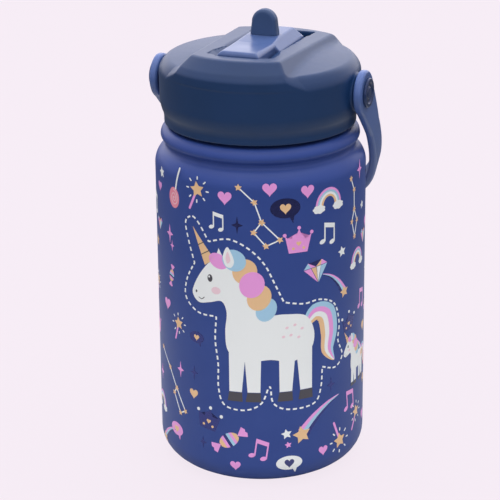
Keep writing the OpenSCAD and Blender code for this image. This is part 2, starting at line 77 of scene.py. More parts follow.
def clouds(material, spread, sizeMm, detail):
    noise = addNode(material, "ShaderNodeTexNoise", {"Scale": perMetre(sizeMm), "Detail": detail},
                    {"Vector": spread.outputs["Vector"]})
    return noise.outputs["Fac"]


def mottle(material, shader, spread, sizeMm, dark, light):
    ramp = addNode(material, "ShaderNodeValToRGB", {}, {"Fac": clouds(material, spread, sizeMm, 3.0)})
    for stop, position, colour in zip(ramp.color_ramp.elements, (0.3, 0.7), (dark, light)):
        stop.position = position
        stop.color = srgb(colour)
    material.node_tree.links.new(ramp.outputs["Color"], shader.inputs["Base Color"])


def patchyGloss(material, shader, spread, sizeMm, low, high):
    band = addNode(material, "ShaderNodeMapRange", {"To Min": low, "To Max": high},
                   {"Value": clouds(material, spread, sizeMm, 4.0)})
    material.node_tree.links.new(band.outputs["Result"], shader.inputs["Roughness"])


# A material whose bumps are (size, depth), with colour patches (size, dark, light) and roughness
# patches (size, low, high) where it has them. Sizes and depths are in millimetres
def finish(name, colour, roughness, bumps, mottled=None, patches=None, detail=2.0, stretch=(1, 1, 1),
           **sockets):
    material = bpy.data.materials.new(name)
    material.use_nodes = True
    material.diffuse_color = srgb(colour)
    shader = material.node_tree.nodes["Principled BSDF"]
    shader.inputs["Base Color"].default_value = srgb(colour)
    shader.inputs["Roughness"].default_value = roughness
    for socket, value in sockets.items():
        shader.inputs[socket.replace("_", " ")].default_value = value
    spot = addNode(material, "ShaderNodeTexCoord")
    spread = addNode(material, "ShaderNodeMapping", {"Scale": stretch}, {"Vector": spot.outputs["Object"]})
    sizeMm, depthMm = bumps
    bump = addNode(material, "ShaderNodeBump", {"Strength": 1.0, "Distance": depthMm * mm},
                   {"Height": clouds(material, spread, sizeMm, detail)})
    material.node_tree.links.new(bump.outputs["Normal"], shader.inputs["Normal"])
    if mottled:
        mottle(material, shader, spread, *mottled)
    if patches:
        patchyGloss(material, shader, spread, *patches)
    return material


# Steel sprayed with powder and baked: an even satin blue with a very fine orange peel
paint = finish("powderCoatedSteel", "#31488e", 0.48, (0.5, 0.012), (14, "#2f468c", "#334a90"),
               (3, 0.41, 0.47), IOR=1.4)

# Stainless steel, turned and brushed: fine rings round the neck and a broad, stretched shine
steel = finish("brushedStainlessSteel", "#c4c6c9", 0.32, (2.0, 0.01), None, (2, 0.26, 0.38),
               detail=3.0, stretch=(1, 1, 14), Metallic=1.0, Anisotropic=0.5)

# Polypropylene moulded in a fine spark-eroded tool: satin navy that turns pale at a low angle
lidPlastic = finish("mouldedPolypropyleneNavy", "#17345d", 0.4, (0.35, 0.006), (10, "#16335b", "#18355f"),
                    (2, 0.37, 0.43), IOR=1.45)

# The same plastic from a darker batch, polished where the snap pins' heads turn
pinPlastic = finish("mouldedPolypropyleneDark", "#1b2f58", 0.3, (0.4, 0.004), None, (2, 0.27, 0.34), IOR=1.49)

# ABS from a polished tool: periwinkle blue with a soft, even gloss
spoutPlastic = finish("mouldedAbsPeriwinkle", "#485c8c", 0.3, (1.5, 0.0012), (8, "#465a8a", "#4a5e8e"),
                      (3, 0.28, 0.33), IOR=1.47)

# Silicone rubber from a blasted mould: dull blue, slightly waxy at its edges
blueSilicone = finish("mouldedSiliconeBlue", "#32486f", 0.5, (0.3, 0.005), (5, "#31476e", "#344a71"),
                      IOR=1.43, Sheen_Weight=0.12, Sheen_Roughness=0.4)

# Polypropylene with a satin skin: mid blue, bends without creasing
strapPlastic = finish("mouldedPolypropyleneMidBlue", "#4d659f", 0.36, (0.4, 0.005), (9, "#4b639d", "#4f67a1"),
                      (3, 0.33, 0.4), IOR=1.49)

# Clear food-grade silicone, pressed in a plain mould: milky white and satin
seals = finish("pressedSiliconeWhite", "#e6e8ec", 0.42, (0.4, 0.004), IOR=1.43, Subsurface_Weight=0.15,
               Subsurface_Radius=(0.002, 0.002, 0.002))

# Extruded polypropylene tube: frosted, with faint lines along its length
strawPlastic = finish("extrudedPolypropyleneFrosted", "#dfe6ee", 0.3, (1.2, 0.006), stretch=(6, 6, 1),
                      IOR=1.49, Transmission_Weight=0.55)

# Sintered zirconium pill: dull grey and gritty
getterMetal = finish("sinteredZirconium", "#9a9ba0", 0.6, (0.3, 0.03), Metallic=1.0)

# Low-melting solder that flowed and froze: dark, wavy and half bright
solder = finish("frozenSolder", "#6f7177", 0.4, (1.5, 0.06), Metallic=1.0)

# Hot-stamped foil: dark, mirror-like, with a faint ripple of the powder under it
foil = finish("hotStampedFoilNavy", "#4a4f8c", 0.24, (0.9, 0.02), None, (2, 0.2, 0.32), Metallic=1.0)


# Screen-printed enamel ink under a clear coat: opaque, smoother than the powder round it
def printedInk(name, colour, roughness=0.38):
    return finish(name, colour, roughness, (0.6, 0.006), IOR=1.5)


finishes = {
    "inner_liner": steel,
    "base_plate": paint,
    "vacuum_getter": getterMetal,
    "vacuum_seal": solder,
    "lid_gasket": seals,
    "lid_core": lidPlastic,
    "vent_valve": seals,
    "spout_seal": seals,
    "straw_connector": seals,
    "straw": strawPlastic,
    "left_spout_pin": steel,
    "right_spout_pin": steel,
}
for nodeName, material in finishes.items():
    for slot in nodes[nodeName].material_slots:
        slot.material = material
print("materials made:", len(bpy.data.materials))


# Making pieces

def place(node):
    low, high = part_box(node)
    return low / mm, high / mm


def link(name, mesh, materials, body, slotName, *replaced):
    piece = bpy.data.objects.new(name, mesh)
    bpy.context.scene.collection.objects.link(piece)
    for material in materials:
        mesh.materials.append(material)
    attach(piece, body)
    if replaced:
        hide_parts(*replaced)
    return piece


def roundMax(a, b, radius):             # a and b both: the edge between them is rounded
    corner = np.hypot(np.maximum(a + radius, 0), np.maximum(b + radius, 0))
    return np.minimum(np.maximum(a, b), -radius) + corner


def roundMin(a, b, radius):             # a or b: the corner between them is filled
    return -roundMax(-a, -b, radius)


def slab(value, low, high):             # between two parallel planes
    return np.maximum(low - value, value - high)


# A closed mesh of the surface where field(x, y, z) is zero, in millimetres, with its true normals
def meshFromField(name, field, low, high, cell):
    axes = [np.arange(l - 2 * cell, h + 3 * cell, cell) for l, h in zip(low, high)]
    values = field(*np.meshgrid(*axes, indexing="ij", sparse=True))
    values = np.broadcast_to(values, [len(a) for a in axes]).astype(float)
    inside = values < 0
    cells = tuple(n - 1 for n in values.shape)
    total = np.zeros(cells + (3,))
    hits = np.zeros(cells)
    quads = []
    crossings = []
    for axis in range(3):
        first = [slice(None)] * 3
        second = [slice(None)] * 3
        first[axis] = slice(None, -1)
        second[axis] = slice(1, None)
        crossed = inside[tuple(first)] != inside[tuple(second)]
        where = np.argwhere(crossed)
        a = values[tuple(first)][crossed]
        b = values[tuple(second)][crossed]
        point = where.astype(float)
        point[:, axis] += a / (a - b)
        others = [i for i in range(3) if i != axis]
        for du in (0, 1):
            for dv in (0, 1):
                spot = where.copy()
                spot[:, others[0]] -= du
                spot[:, others[1]] -= dv
                np.add.at(total, tuple(spot.T), point)
                np.add.at(hits, tuple(spot.T), 1)
        crossings.append((axis, others, where, a < 0))
    used = hits > 0
    index = np.full(cells, -1)
    index[used] = np.arange(used.sum())
    points = total[used] / hits[used][:, None] * cell + [a[0] for a in axes]
    for axis, others, where, outward in crossings:
        corners = []
        for du, dv in ((1, 1), (0, 1), (0, 0), (1, 0)):
            spot = where.copy()
            spot[:, others[0]] -= du
            spot[:, others[1]] -= dv
            corners.append(index[tuple(spot.T)])
        ring = np.stack(corners, axis=1)
        turn = outward if axis != 1 else ~outward
        ring[~turn] = ring[~turn][:, ::-1]
        quads.append(ring)

    def slope(p, step=0.01):
        parts = []
        for axis in range(3):
            ahead, behind = p.copy(), p.copy()
            ahead[:, axis] += step
            behind[:, axis] -= step
            parts.append((field(*ahead.T) - field(*behind.T)) / (2 * step))
        return np.stack(parts, axis=1)

    for _ in range(4):
        lean = slope(points)
        push = field(*points.T) / np.maximum((lean ** 2).sum(1), 0.05)
        points -= lean * np.clip(push, -0.4 * cell, 0.4 * cell)[:, None]
    lean = slope(points, 0.06)
    lean /= np.maximum(np.linalg.norm(lean, axis=1), 1e-6)[:, None]
    mesh = bpy.data.meshes.new(name)
    mesh.from_pydata(points * mm, [], np.concatenate(quads).tolist())
    mesh.validate()
    mesh.shade_smooth()
    mesh.normals_split_custom_set_from_vertices(lean.tolist())
    return mesh


# A corner list (r, z, radius) with each corner rounded to its radius
def filleted(corners, steps=8, closed=True):
    outline = []
    count = len(corners)
    for i, (r, z, radius) in enumerate(corners):
        here = Vector((r, z))
        if radius == 0 or (not closed and i in (0, count - 1)):
            outline.append(here)
            continue
        before = (Vector(corners[i - 1][:2]) - here).normalized()
        after = (Vector(corners[(i + 1) % count][:2]) - here).normalized()
        half = math.acos(max(-1, min(1, before.dot(after)))) / 2
        centre = here + (before + after).normalized() * radius / math.sin(half)
        start = here + before * radius / math.tan(half) - centre
        sweep = start.angle_signed(here + after * radius / math.tan(half) - centre)
        for step in range(steps + 1):
            a = -sweep * step / steps
            turned = Vector((start.x * math.cos(a) - start.y * math.sin(a),
                             start.x * math.sin(a) + start.y * math.cos(a)))
            outline.append(centre + turned)
    return outline


# A closed outline in (r, z), in millimetres, turned round the Z axis and then placed
def turned(name, outline, segments, placing=Matrix.Identity(4)):
    count = len(outline)
    verts = []
    for s in range(segments):
        a = 2 * math.pi * s / segments
        verts += [placing @ Vector((p.x * math.cos(a), p.x * math.sin(a), p.y)) * mm for p in outline]
    faces = []
    for s in range(segments):
        ahead = (s + 1) % segments
        for i in range(count):
            j = (i + 1) % count
            faces.append((s * count + i, ahead * count + i, ahead * count + j, s * count + j))
    mesh = bpy.data.meshes.new(name)
    mesh.from_pydata(verts, [], faces)
    work = bmesh.new()
    work.from_mesh(mesh)
    bmesh.ops.remove_doubles(work, verts=work.verts, dist=1e-7)
    bmesh.ops.dissolve_degenerate(work, edges=work.edges, dist=1e-7)
    bmesh.ops.recalc_face_normals(work, faces=work.faces)
    work.to_mesh(mesh)
    work.free()
    mesh.shade_smooth()
    mesh.set_sharp_from_angle(angle=math.radians(38))
    return mesh


# Flask: the outer steel wall with its shoulder, groove, rolled bead and threaded neck
shellLow, shellHigh = place("outer_shell")
plateHigh = place("base_plate")[1]
flask = {
    "radius": (shellHigh.x - shellLow.x) / 2,
    "cornerRadius": 9.2,
    "footRadius": 23.5,
    "wall": 0.7,
    "shoulderZ": 113.0,
    "grooveRadius": 31.4,
    "grooveZ": 116.2,
    "beadRadius": 34.35,
    "beadLowZ": 118.2,
    "beadTopZ": 122.4,
    "neckRadius": 28.6,
    "threadStart": 126.5,
    "threadLead": 4.0,
    "threadTurns": 1.25,
    "threadSection": ((-0.3, -1.0), (0.45, -0.72), (0.9, -0.3), (0.9, 0.3), (0.45, 0.72), (-0.3, 1.0)),
}


def outerShell(d):
    wall = d["wall"]
    top = shellHigh.z
    seat = d["footRadius"] - wall
    outline = filleted([
        (d["footRadius"], 0, 0.5),
        (d["radius"], 0, d["cornerRadius"]),
        (d["radius"], d["shoulderZ"], 7.5),
        (d["grooveRadius"], d["grooveZ"], 1.5),
        (d["beadRadius"], d["beadLowZ"], 2.0),
        (d["beadRadius"], d["beadTopZ"], 3.3),
        (d["neckRadius"], d["beadTopZ"], 0.6),
        (d["neckRadius"], top, 0),
        (d["neckRadius"] - wall, top, 0),
        (d["neckRadius"] - wall, d["beadTopZ"] - wall, 0.4),
        (d["beadRadius"] - wall, d["beadTopZ"] - wall, 2.6),
        (d["beadRadius"] - wall, d["beadLowZ"] + 0.3, 1.2),
        (d["grooveRadius"] - wall, d["grooveZ"], 1.2),
        (d["radius"] - wall, d["shoulderZ"] - 0.3, 6.8),
        (d["radius"] - wall, wall, d["cornerRadius"] - wall),
        (d["footRadius"] + wall, wall, 0.5),
        (d["footRadius"] + wall, plateHigh.z, 0),
        (seat, plateHigh.z, 0),
        (seat, plateHigh.z - wall, 0),
        (d["footRadius"], plateHigh.z - wall, 0.2),
    ], steps=10)
    mesh = turned("flaskWall", outline, 192)
    piece = link("flaskWall", mesh, [paint, steel], "flask", "flask_paint", "outer_shell")
    for face in mesh.polygons:                  # the neck above the bead is left bare
        face.material_index = int(face.center.z > (d["beadTopZ"] + 0.3) * mm)
    return piece


def threadRidge(d):
    steps = 90
    runOut = 6                                  # steps over which each end fades into the neck
    verts, faces = [], []
    for i in range(steps + 1):
        a = d["threadTurns"] * 2 * math.pi * i / steps
        fade = min(1, i / runOut, (steps - i) / runOut)
        z = d["threadStart"] + d["threadLead"] * a / (2 * math.pi)
        for dr, dz in d["threadSection"]:
            r = d["neckRadius"] + (dr * fade if dr > 0 else dr)
            verts.append(Vector((r * math.cos(a), r * math.sin(a), z + dz)) * mm)
    sides = len(d["threadSection"])
    for i in range(steps):
        here, ahead = sides * i, sides * (i + 1)
        for j in range(sides):
            k = (j + 1) % sides
            faces.append((here + j, ahead + j, ahead + k, here + k))
    faces.append(tuple(range(sides)))
    faces.append(tuple(sides * steps + j for j in reversed(range(sides))))
    mesh = bpy.data.meshes.new("neckThread")
    mesh.from_pydata(verts, [], faces)
    mesh.shade_smooth()
    mesh.set_sharp_from_angle(angle=math.radians(50))
    link("neckThread", mesh, [steel], "flask", "bare_steel")


outerShell(flask)
threadRidge(flask)
print("flask made")


# Lid: one moulding with a band, two low wings and a raised bar that the flip spout lies in
lidLow, lidHigh = place("lid_shell")
hubAt = Vector(joints["spout_flip"]["pos_m"]) / mm
pivotAt = Vector(joints["loop_swing"]["pos_m"]) / mm
carrierLow, carrierHigh = place("spout_carrier")
lid = {
    "bottom": lidLow.z,
    "skirtRadius": 33.0,
    "skirtTop": lidLow.z + 3.2,
    "bandRadius": 34.4,
    "bandFoot": lidLow.z + 6.5,
    "bandTop": lidLow.z + 18.5,
    "bandDraft": 0.1,
    "ledgeZ": lidLow.z + 18.2,
    "ledgeStep": 0.16,
    "rimRadius": 4.8,
    "wingRadius": 30.2,
    "wingZ": lidLow.z + 22.6,
    "wingSlope": math.radians(5.5),
    "panelRadius": 28.5,
    "panelTop": lidLow.z + 27.2,
    "panelSlope": math.radians(36),
    "panelFootRounding": 1.8,
    "barHalf": 15.5,
    "barSideSlope": math.radians(49),
    "barTopSlope": math.radians(2.5),
    "barFrontAngle": math.radians(33),
    "barEdge": 0.55,
    "valley": 0.9,
    "bossRadius": 6.0,
    "bossReach": lidHigh.x,
    "bossBlend": 0.9,
    "hollowRadius": 31.4,
    "roofDepth": 2.4,
    "roofRadius": 28.4,
    "roofSlope": 0.078,
    "tubHalf": 13.1,
    "tubWall": 2.2,
    "tubFloor": lidLow.z + 16.25,
    "pocketFloor": lidLow.z + 18.45,
    "frontHalf": 7.6,
    "backHalf": 9.5,
    "wellHalf": 10.8,
    "pocketFront": -22.5,
    "pocketBack": 26.7,
    "scoopHalf": 11.4,
    "scoopDepth": 1.9,
    "gripBack": -5.3,
    "railBevel": 0.9,
    "pocketEdge": 0.45,
    "wellGap": 2.05,
    "hubBore": 4.9,
    "hubBoreHalf": 5.7,
    "lobeBore": 3.0,
    "scoopLength": 9.0,
    "scoopRun": 3.4,
    "sealSeatRadius": 3.95,
    "spoutPinRadius": 1.3,
    "spoutPinReach": 12.35,
    "loopPinRadius": 3.05,
    "loopPinFloor": 32.2,
}


def barTop(d, y):                       # the bar's top rises a little towards its front edge
    front = d["panelRadius"] * math.cos(d["barFrontAngle"])
    return d["panelTop"] - (y + front) * math.tan(d["barTopSlope"])


def hubBore(reach, y, z, radius):       # a round bore, with a straight wall above its back
    return np.minimum(reach - radius, np.maximum(slab(y, hubAt.y, hubAt.y + radius), hubAt.z - z))


def spoutPocket(d, x, y, z):
    ax = np.abs(x)
    front = np.maximum(slab(y, d["pocketFront"], hubAt.y), d["pocketFloor"] - z)
    front = roundMax(ax - d["frontHalf"], front, 0.3)
    back = np.maximum(slab(y, d["gripBack"], hubAt.y), d["pocketFloor"] - z)
    back = roundMax(ax - d["backHalf"], back, 0.3)
    well = np.maximum(slab(y, hubAt.y + d["wellGap"], d["pocketBack"]), d["pocketFloor"] + 1 - z)
    well = roundMax(ax - d["wellHalf"], well, 0.3)
    reach = np.hypot(y - hubAt.y, z - hubAt.z)
    hub = np.maximum(ax - d["hubBoreHalf"], hubBore(reach, y, z, d["hubBore"]))
    lobe = np.maximum(ax - d["backHalf"], hubBore(reach, y, z, d["lobeBore"]))
    pocket = np.minimum(np.minimum(front, back), np.minimum(well, np.minimum(hub, lobe)))
    # finger scoops: shallow ramps that fall from the rails to the carrier's narrower front
    spread = np.clip((d["gripBack"] - y) / d["scoopLength"], 0, 1)
    half = d["backHalf"] + (d["scoopHalf"] - d["backHalf"]) * spread
    floor = barTop(d, y) - d["scoopDepth"] * np.clip((half + 0.6 - ax) / d["scoopRun"], 0, 1)
    scoop = np.maximum((floor - z) * 0.87, ax - half)
    scoop = np.maximum(scoop, slab(y, -40, d["gripBack"] - 0.1))
    scoop = np.maximum(scoop, np.hypot(x, y) + d["pocketFront"] - 0.2)
    # bevel along the rails' inner edges
    bevel = (ax - d["backHalf"] + barTop(d, y) - z - d["railBevel"]) * 0.7071
    bevel = np.maximum(bevel, slab(y, d["gripBack"] - 0.6, hubAt.y + 2))
    pocket = roundMin(pocket, scoop, 0.2)
    return np.minimum(pocket, bevel)


def lidField(x, y, z):
    d = lid
    r = np.hypot(x, y)
    ax = np.abs(x)
    draft = d["bandDraft"] * np.clip((z - d["bandFoot"]) / (d["bandTop"] - d["bandFoot"]), 0, 1)
    flank = ((ax - d["barHalf"]) * math.sin(d["barSideSlope"])
             + (z - d["panelTop"]) * math.cos(d["barSideSlope"]))
    ledge = np.clip((z - d["ledgeZ"]) / 0.7, 0, 1) * np.clip(-flank / 5, 0, 1) * (y < 0)
    draft = draft + d["ledgeStep"] * ledge      # the front panel stands a hair behind the band
    bevelRise = math.hypot(d["bandFoot"] - d["skirtTop"], d["bandRadius"] - d["skirtRadius"])
    bevel = ((r - d["skirtRadius"]) * (d["bandFoot"] - d["skirtTop"])
             - (z - d["skirtTop"]) * (d["bandRadius"] - d["skirtRadius"])) / bevelRise
    band = roundMax(r - d["bandRadius"] - draft, bevel, 0.9)
    side = roundMin(band, r - d["skirtRadius"], 0.5)
    side = roundMax(side, d["bottom"] - z, 0.4)
    wing = z - d["wingZ"] - (d["wingRadius"] - r) * math.tan(d["wingSlope"])
    wing = wing * math.cos(d["wingSlope"])
    panel = ((r - d["panelRadius"]) * math.sin(d["panelSlope"])
             + (z - d["panelTop"]) * math.cos(d["panelSlope"]))
    top = (z - barTop(d, y)) * math.cos(d["barTopSlope"])
    bar = roundMax(roundMax(panel, flank, d["barEdge"]), top, d["barEdge"])
    rounding = np.clip(flank + 0.6, 0, 2) / 2
    rounding = d["panelFootRounding"] + (d["rimRadius"] - d["panelFootRounding"]) * rounding
    body = roundMax(side, roundMin(bar, wing, d["valley"]), rounding)
    boss = np.hypot(y - pivotAt.y, z - pivotAt.z) - d["bossRadius"]
    boss = roundMax(boss, ax - d["bossReach"], 0.5)
    body = roundMin(body, boss, d["bossBlend"])
    # hollow underside, and the tub that hangs in it
    ceiling = z - d["bandTop"] - d["roofDepth"] - np.maximum(d["roofRadius"] - r, 0) * d["roofSlope"]
    hollow = roundMax(r - d["hollowRadius"], ceiling, 3.5)
    shell = np.maximum(body, -hollow)
    tub = slab(y, d["pocketFront"] - d["tubWall"], d["pocketBack"] + d["tubWall"])
    tub = np.maximum(np.maximum(tub, ax - d["tubHalf"]), d["tubFloor"] - z)
    tub = np.maximum(tub, body)
    shell = np.minimum(shell, tub)
    shell = roundMax(shell, -spoutPocket(d, x, y, z), d["pocketEdge"])
    # seal seat, spout pin holes and the blind holes of the carry loop's pins
    seat = np.hypot(x, y - hubAt.y) - d["sealSeatRadius"]
    seat = np.maximum(seat, slab(z, d["tubFloor"] - 1, d["pocketFloor"] + 1))
    pins = np.hypot(y - hubAt.y, z - hubAt.z) - d["spoutPinRadius"]
    pins = np.maximum(pins, ax - d["spoutPinReach"])
    sockets = np.hypot(y - pivotAt.y, z - pivotAt.z) - d["loopPinRadius"]
    sockets = np.maximum(sockets, slab(ax, d["loopPinFloor"], 40))
    return np.maximum(shell, -np.minimum(seat, np.minimum(pins, sockets)))


mesh = meshFromField("lidMoulding", lidField, lidLow, lidHigh, 0.52)
link("lidMoulding", mesh, [lidPlastic], "lid", "lid_plastic", "lid_shell")
print("lid made:", len(mesh.polygons), "faces")


# Flip spout: the carrier lies along the lid and turns on its hub
carrier = {
    "lip": carrierLow.y,
    "lipRounding": 1.5,
    "foot": hubAt.z + 0.4,
    "top": carrierHigh.z,
    "rampDepth": 0.55,
    "rampEndDepth": 0.06,
    "dishDepth": 0.22,
    "dishHalf": 5.5,
    "dishLength": 4.5,
    "creaseY": -5.0,
    "tabY": 3.0,
    "topHalf": 6.0,
    "frontHalf": 7.3,
    "backHalf": carrierHigh.x,
    "gripBack": -5.0,
    "hubRadius": 4.6,
    "hubHalf": 5.4,
    "lobeRadius": 2.7,
    "channelHalf": 4.6,
    "channelTop": hubAt.z + 4.0,
    "channelBack": hubAt.y - 5.2,
    "nippleRadius": 2.65,
    "nippleFront": hubAt.y - 12.6,
    "flowRadius": 1.9,
    "pinRadius": 1.3,
    "pinStart": 6.1,
    "slotHalf": 2.45,
    "slotLow": 0.75,
    "slotHigh": 3.85,
    "slotDepth": 0.9,
    "edge": 0.45,
}


def carrierField(x, y, z):
    d = carrier
    ax = np.abs(x)
    ramps = [d["rampEndDepth"], d["rampDepth"], d["rampEndDepth"]]
    crease = np.interp(y, [d["lip"] + 2.6, d["creaseY"], d["tabY"] - 0.4], ramps)
    dish = d["dishDepth"] * np.clip(1 - (x / d["dishHalf"]) ** 2, 0, 1)
    dish = dish * np.exp(-((y - d["creaseY"] + 3.5) / d["dishLength"]) ** 2)
    dip = np.where(y < d["tabY"] - 0.4, crease + dish, 0)
    top = z - d["top"] + dip
    lip = d["lip"] - y
    bevel = (ax - d["topHalf"] + z - d["top"]) * 0.7071
    wide = roundMax(ax - d["backHalf"], d["gripBack"] - y, 0.5)
    side = np.minimum(ax - d["frontHalf"], wide)
    slant = ((y - hubAt.y - 0.4) * 0.9 + (z - d["top"]) * 0.44)
    cover = roundMax(lip, top, d["lipRounding"])
    cover = roundMax(cover, bevel, d["edge"])
    cover = roundMax(cover, side, d["edge"])
    cover = roundMax(cover, slant, 0.6)
    cover = roundMax(cover, d["foot"] - z, 0.4)
    reach = np.hypot(y - hubAt.y, z - hubAt.z)
    hub = roundMax(reach - d["hubRadius"], ax - d["hubHalf"], 0.4)
    lobe = roundMax(reach - d["lobeRadius"], ax - d["backHalf"], 0.4)
    body = roundMin(roundMin(cover, hub, 0.3), lobe, 0.3)
    channel = np.maximum(ax - d["channelHalf"], slab(y, d["lip"] + 0.9, d["channelBack"] + 0.4))
    channel = np.maximum(channel, z - d["channelTop"])
    nipple = np.maximum(np.hypot(x, z - hubAt.z) - d["nippleRadius"], d["nippleFront"] - y)
    body = roundMax(body, -np.maximum(channel, -nipple), 0.3)
    flow = np.hypot(x, z - hubAt.z) - d["flowRadius"]
    pins = np.maximum(reach - d["pinRadius"], d["pinStart"] - ax)
    root = np.maximum(ax - d["slotHalf"], slab(y, d["tabY"] + d["slotLow"], d["tabY"] + d["slotHigh"]))
    root = np.maximum(root, d["top"] - d["slotDepth"] - z)
    return np.maximum(body, -np.minimum(root, np.minimum(flow, pins)))


mesh = meshFromField("spoutCarrier", carrierField, carrierLow, carrierHigh, 0.32)
link("spoutCarrier", mesh, [spoutPlastic], "spout", "spout_plastic", "spout_carrier")

tabLow, tabHigh = place("thumb_tab")
tab = {
    "foot": carrier["top"],
    "half": tabHigh.x,
    "topHalf": tabHigh.x - 0.5,
    "thickness": 4.6,
    "middle": 5.3,
    "edge": 1.15,
    "taper": 0.4,
    "rootHalf": 2.4,
    "rootStep": 0.8,
}


def tabField(x, y, z):
    d = tab
    crown = tabHigh.z - d["topHalf"]
    up = np.clip((z - d["foot"]) / (crown - d["foot"]), 0, 1)
    half = d["half"] + (d["topHalf"] - d["half"]) * up
    outline = np.where(z > crown, np.hypot(x, z - crown) - d["topHalf"], np.abs(x) - half)
    thick = d["thickness"] / 2 - d["taper"] * np.clip((z - d["foot"]) / (tabHigh.z - d["foot"]), 0, 1)
    blade = roundMax(outline, np.abs(y - d["middle"]) - thick, d["edge"])
    blade = np.maximum(blade, d["foot"] - z)
    root = np.abs(y - d["middle"]) - d["thickness"] / 2 + d["rootStep"]
    root = np.maximum(np.abs(x) - d["rootHalf"], root)
    root = np.maximum(root, slab(z, tabLow.z, d["foot"] + 0.5))
    return np.minimum(blade, root)


mesh = meshFromField("thumbTab", tabField, tabLow, tabHigh, 0.3)
link("thumbTab", mesh, [blueSilicone], "spout", "blue_silicone", "thumb_tab")

mouthLow, mouthHigh = place("mouthpiece")
mouth = {
    "radius": 3.3,
    "flare": mouthHigh.x,
    "length": mouthHigh.y - mouthLow.y,
    "flareStart": 8.5,
    "flareEnd": 4.0,
    "boreRadius": 1.5,
    "sleeveRadius": 2.7,
    "sleeveDepth": 7.05,
}


def mouthpiece(d):
    size = d["length"]
    outline = filleted([
        (d["sleeveRadius"], 0, 0.25),
        (d["radius"], 0, 0.25),
        (d["radius"], size - d["flareStart"], 3.0),
        (d["flare"], size - d["flareEnd"], 3.0),
        (d["flare"], size, 1.5),
        (d["boreRadius"], size, 0.5),
        (d["boreRadius"], d["sleeveDepth"], 0.1),
        (d["sleeveRadius"], d["sleeveDepth"], 0.1),
    ], steps=7)
    placing = Matrix.Translation((0, mouthHigh.y, hubAt.z)) @ Matrix.Rotation(math.radians(90), 4, "X")
    mesh = turned("biteMouthpiece", outline, 64, placing)
    link("biteMouthpiece", mesh, [blueSilicone], "spout", "blue_silicone", "mouthpiece")


mouthpiece(mouth)
print("spout made")


# Carry loop: a flat strap bent to a squarish bow, with a round ear on each snap pin
loopLow, loopHigh = place("carry_loop")
strap = {
    "hang": math.radians(50),
    "squareness": 3.0,
    "taperEnd": 20.0,
    "outer": loopHigh.x,
    "thickness": 2.9,
    "width": 9.0,
    "earRadius": 7.5,
    "taperStart": 2.0,
    "taperHalf": 7.2,
    "boreRadius": 3.05,
    "edge": 1.0,
}
strap["middle"] = strap["outer"] - strap["thickness"] / 2
farPoint = loopHigh.y - strap["width"] / 2 * math.sin(strap["hang"])
strap["reach"] = farPoint / math.cos(strap["hang"]) - strap["thickness"] / 2


def loopField(x, y, z):
    d = strap
    dy, dz = y - pivotAt.y, z - pivotAt.z
    along = dy * math.cos(d["hang"]) - dz * math.sin(d["hang"])
    across = dy * math.sin(d["hang"]) + dz * math.cos(d["hang"])
    # the bow is a squarish half ellipse; its value over its slope is the distance from it
    p = d["squareness"]
    u = np.abs(x) / d["middle"]
    v = np.maximum(along, 0) / d["reach"]
    whole = np.maximum(u ** p + v ** p, 1e-3)
    slope = whole ** (1 / p - 1) * np.hypot(u ** (p - 1) / d["middle"], v ** (p - 1) / d["reach"])
    skin = np.abs((whole ** (1 / p) - 1) / slope) - d["thickness"] / 2
    taper = np.clip((d["taperEnd"] - along) / (d["taperEnd"] - d["taperStart"]), 0, 1)
    half = d["width"] / 2 + (d["taperHalf"] - d["width"] / 2) * taper
    side = roundMin(np.maximum(np.abs(across) - half, -along), np.hypot(along, across) - d["earRadius"], 0.5)
    loop = roundMax(skin, side, d["edge"])
    return roundMax(loop, d["boreRadius"] - np.hypot(along, across), 0.2)


mesh = meshFromField("carryLoop", loopField, loopLow, loopHigh, 0.45)
link("carryLoop", mesh, [strapPlastic], "loop", "loop_plastic", "carry_loop")

pinLow, pinHigh = place("right_pivot_pin")
snapPin = {
    "shankRadius": 3.0,
    "headRadius": 5.0,
    "headHeight": 0.9,
    "dishRadius": 3.7,
    "dishDepth": 0.5,
    "studRadius": 1.9,
}


def pivotPin(name, side, node):
    d = snapPin
    size = pinHigh.x - pinLow.x
    head = size - d["headHeight"]
    outline = filleted([
        (0, 0, 0),
        (d["shankRadius"], 0, 0.3),
        (d["shankRadius"], head, 0.1),
        (d["headRadius"], head, 0.15),
        (d["headRadius"], size, 0.45),
        (d["dishRadius"], size, 0.2),
        (d["dishRadius"] - 0.35, size - d["dishDepth"], 0.2),
        (d["studRadius"] + 0.3, size - d["dishDepth"], 0.2),
        (d["studRadius"], size - 0.1, 0.3),
        (0, size - 0.02, 0),
    ], steps=5, closed=False)
    placing = Matrix.Translation((side * pinLow.x, pivotAt.y, pivotAt.z))
    placing = placing @ Matrix.Rotation(side * math.radians(90), 4, "Y")
    mesh = turned(name, outline, 72, placing)
    link(name, mesh, [pinPlastic], "lid", "pin_plastic", node)


pivotPin("rightSnapPin", 1, "right_pivot_pin")
pivotPin("leftSnapPin", -1, "left_pivot_pin")
print("loop made")


# Printed art: thin slabs of ink on the flask's wall. u runs round the wall and v up it, in millimetres
inks = {
    "white": printedInk("screenInkWhite", "#f4f6f8", 0.42),
    "orange": printedInk("screenInkPeach", "#efc496"),
    "pink": printedInk("screenInkOrchid", "#f0a0e4"),
    "blue": printedInk("screenInkSky", "#a8d0ec"),
    "rose": printedInk("screenInkRose", "#f3d3df"),
    "coral": printedInk("screenInkCoral", "#ee8fa6"),
    "grey": printedInk("screenInkCharcoal", "#4a4750"),
    "indigo": printedInk("screenInkIndigo", "#3a3f78"),
    "foil": foil,
}
art = {
    "centreAngle": -70.0,
    "copies": 2,
    "inkHeight": 0.05,
    "layerStep": 0.02,
    "sink": 0.03,
    "strip": 1.5,
    "dash": 1.45,
    "dashGap": 1.0,
    "dashWidth": 0.6,
}
prints = {name: [] for name in inks}


def ink(name, outline, layer=0):
    prints[name].append(([Vector((u, v)) for u, v in outline], layer))


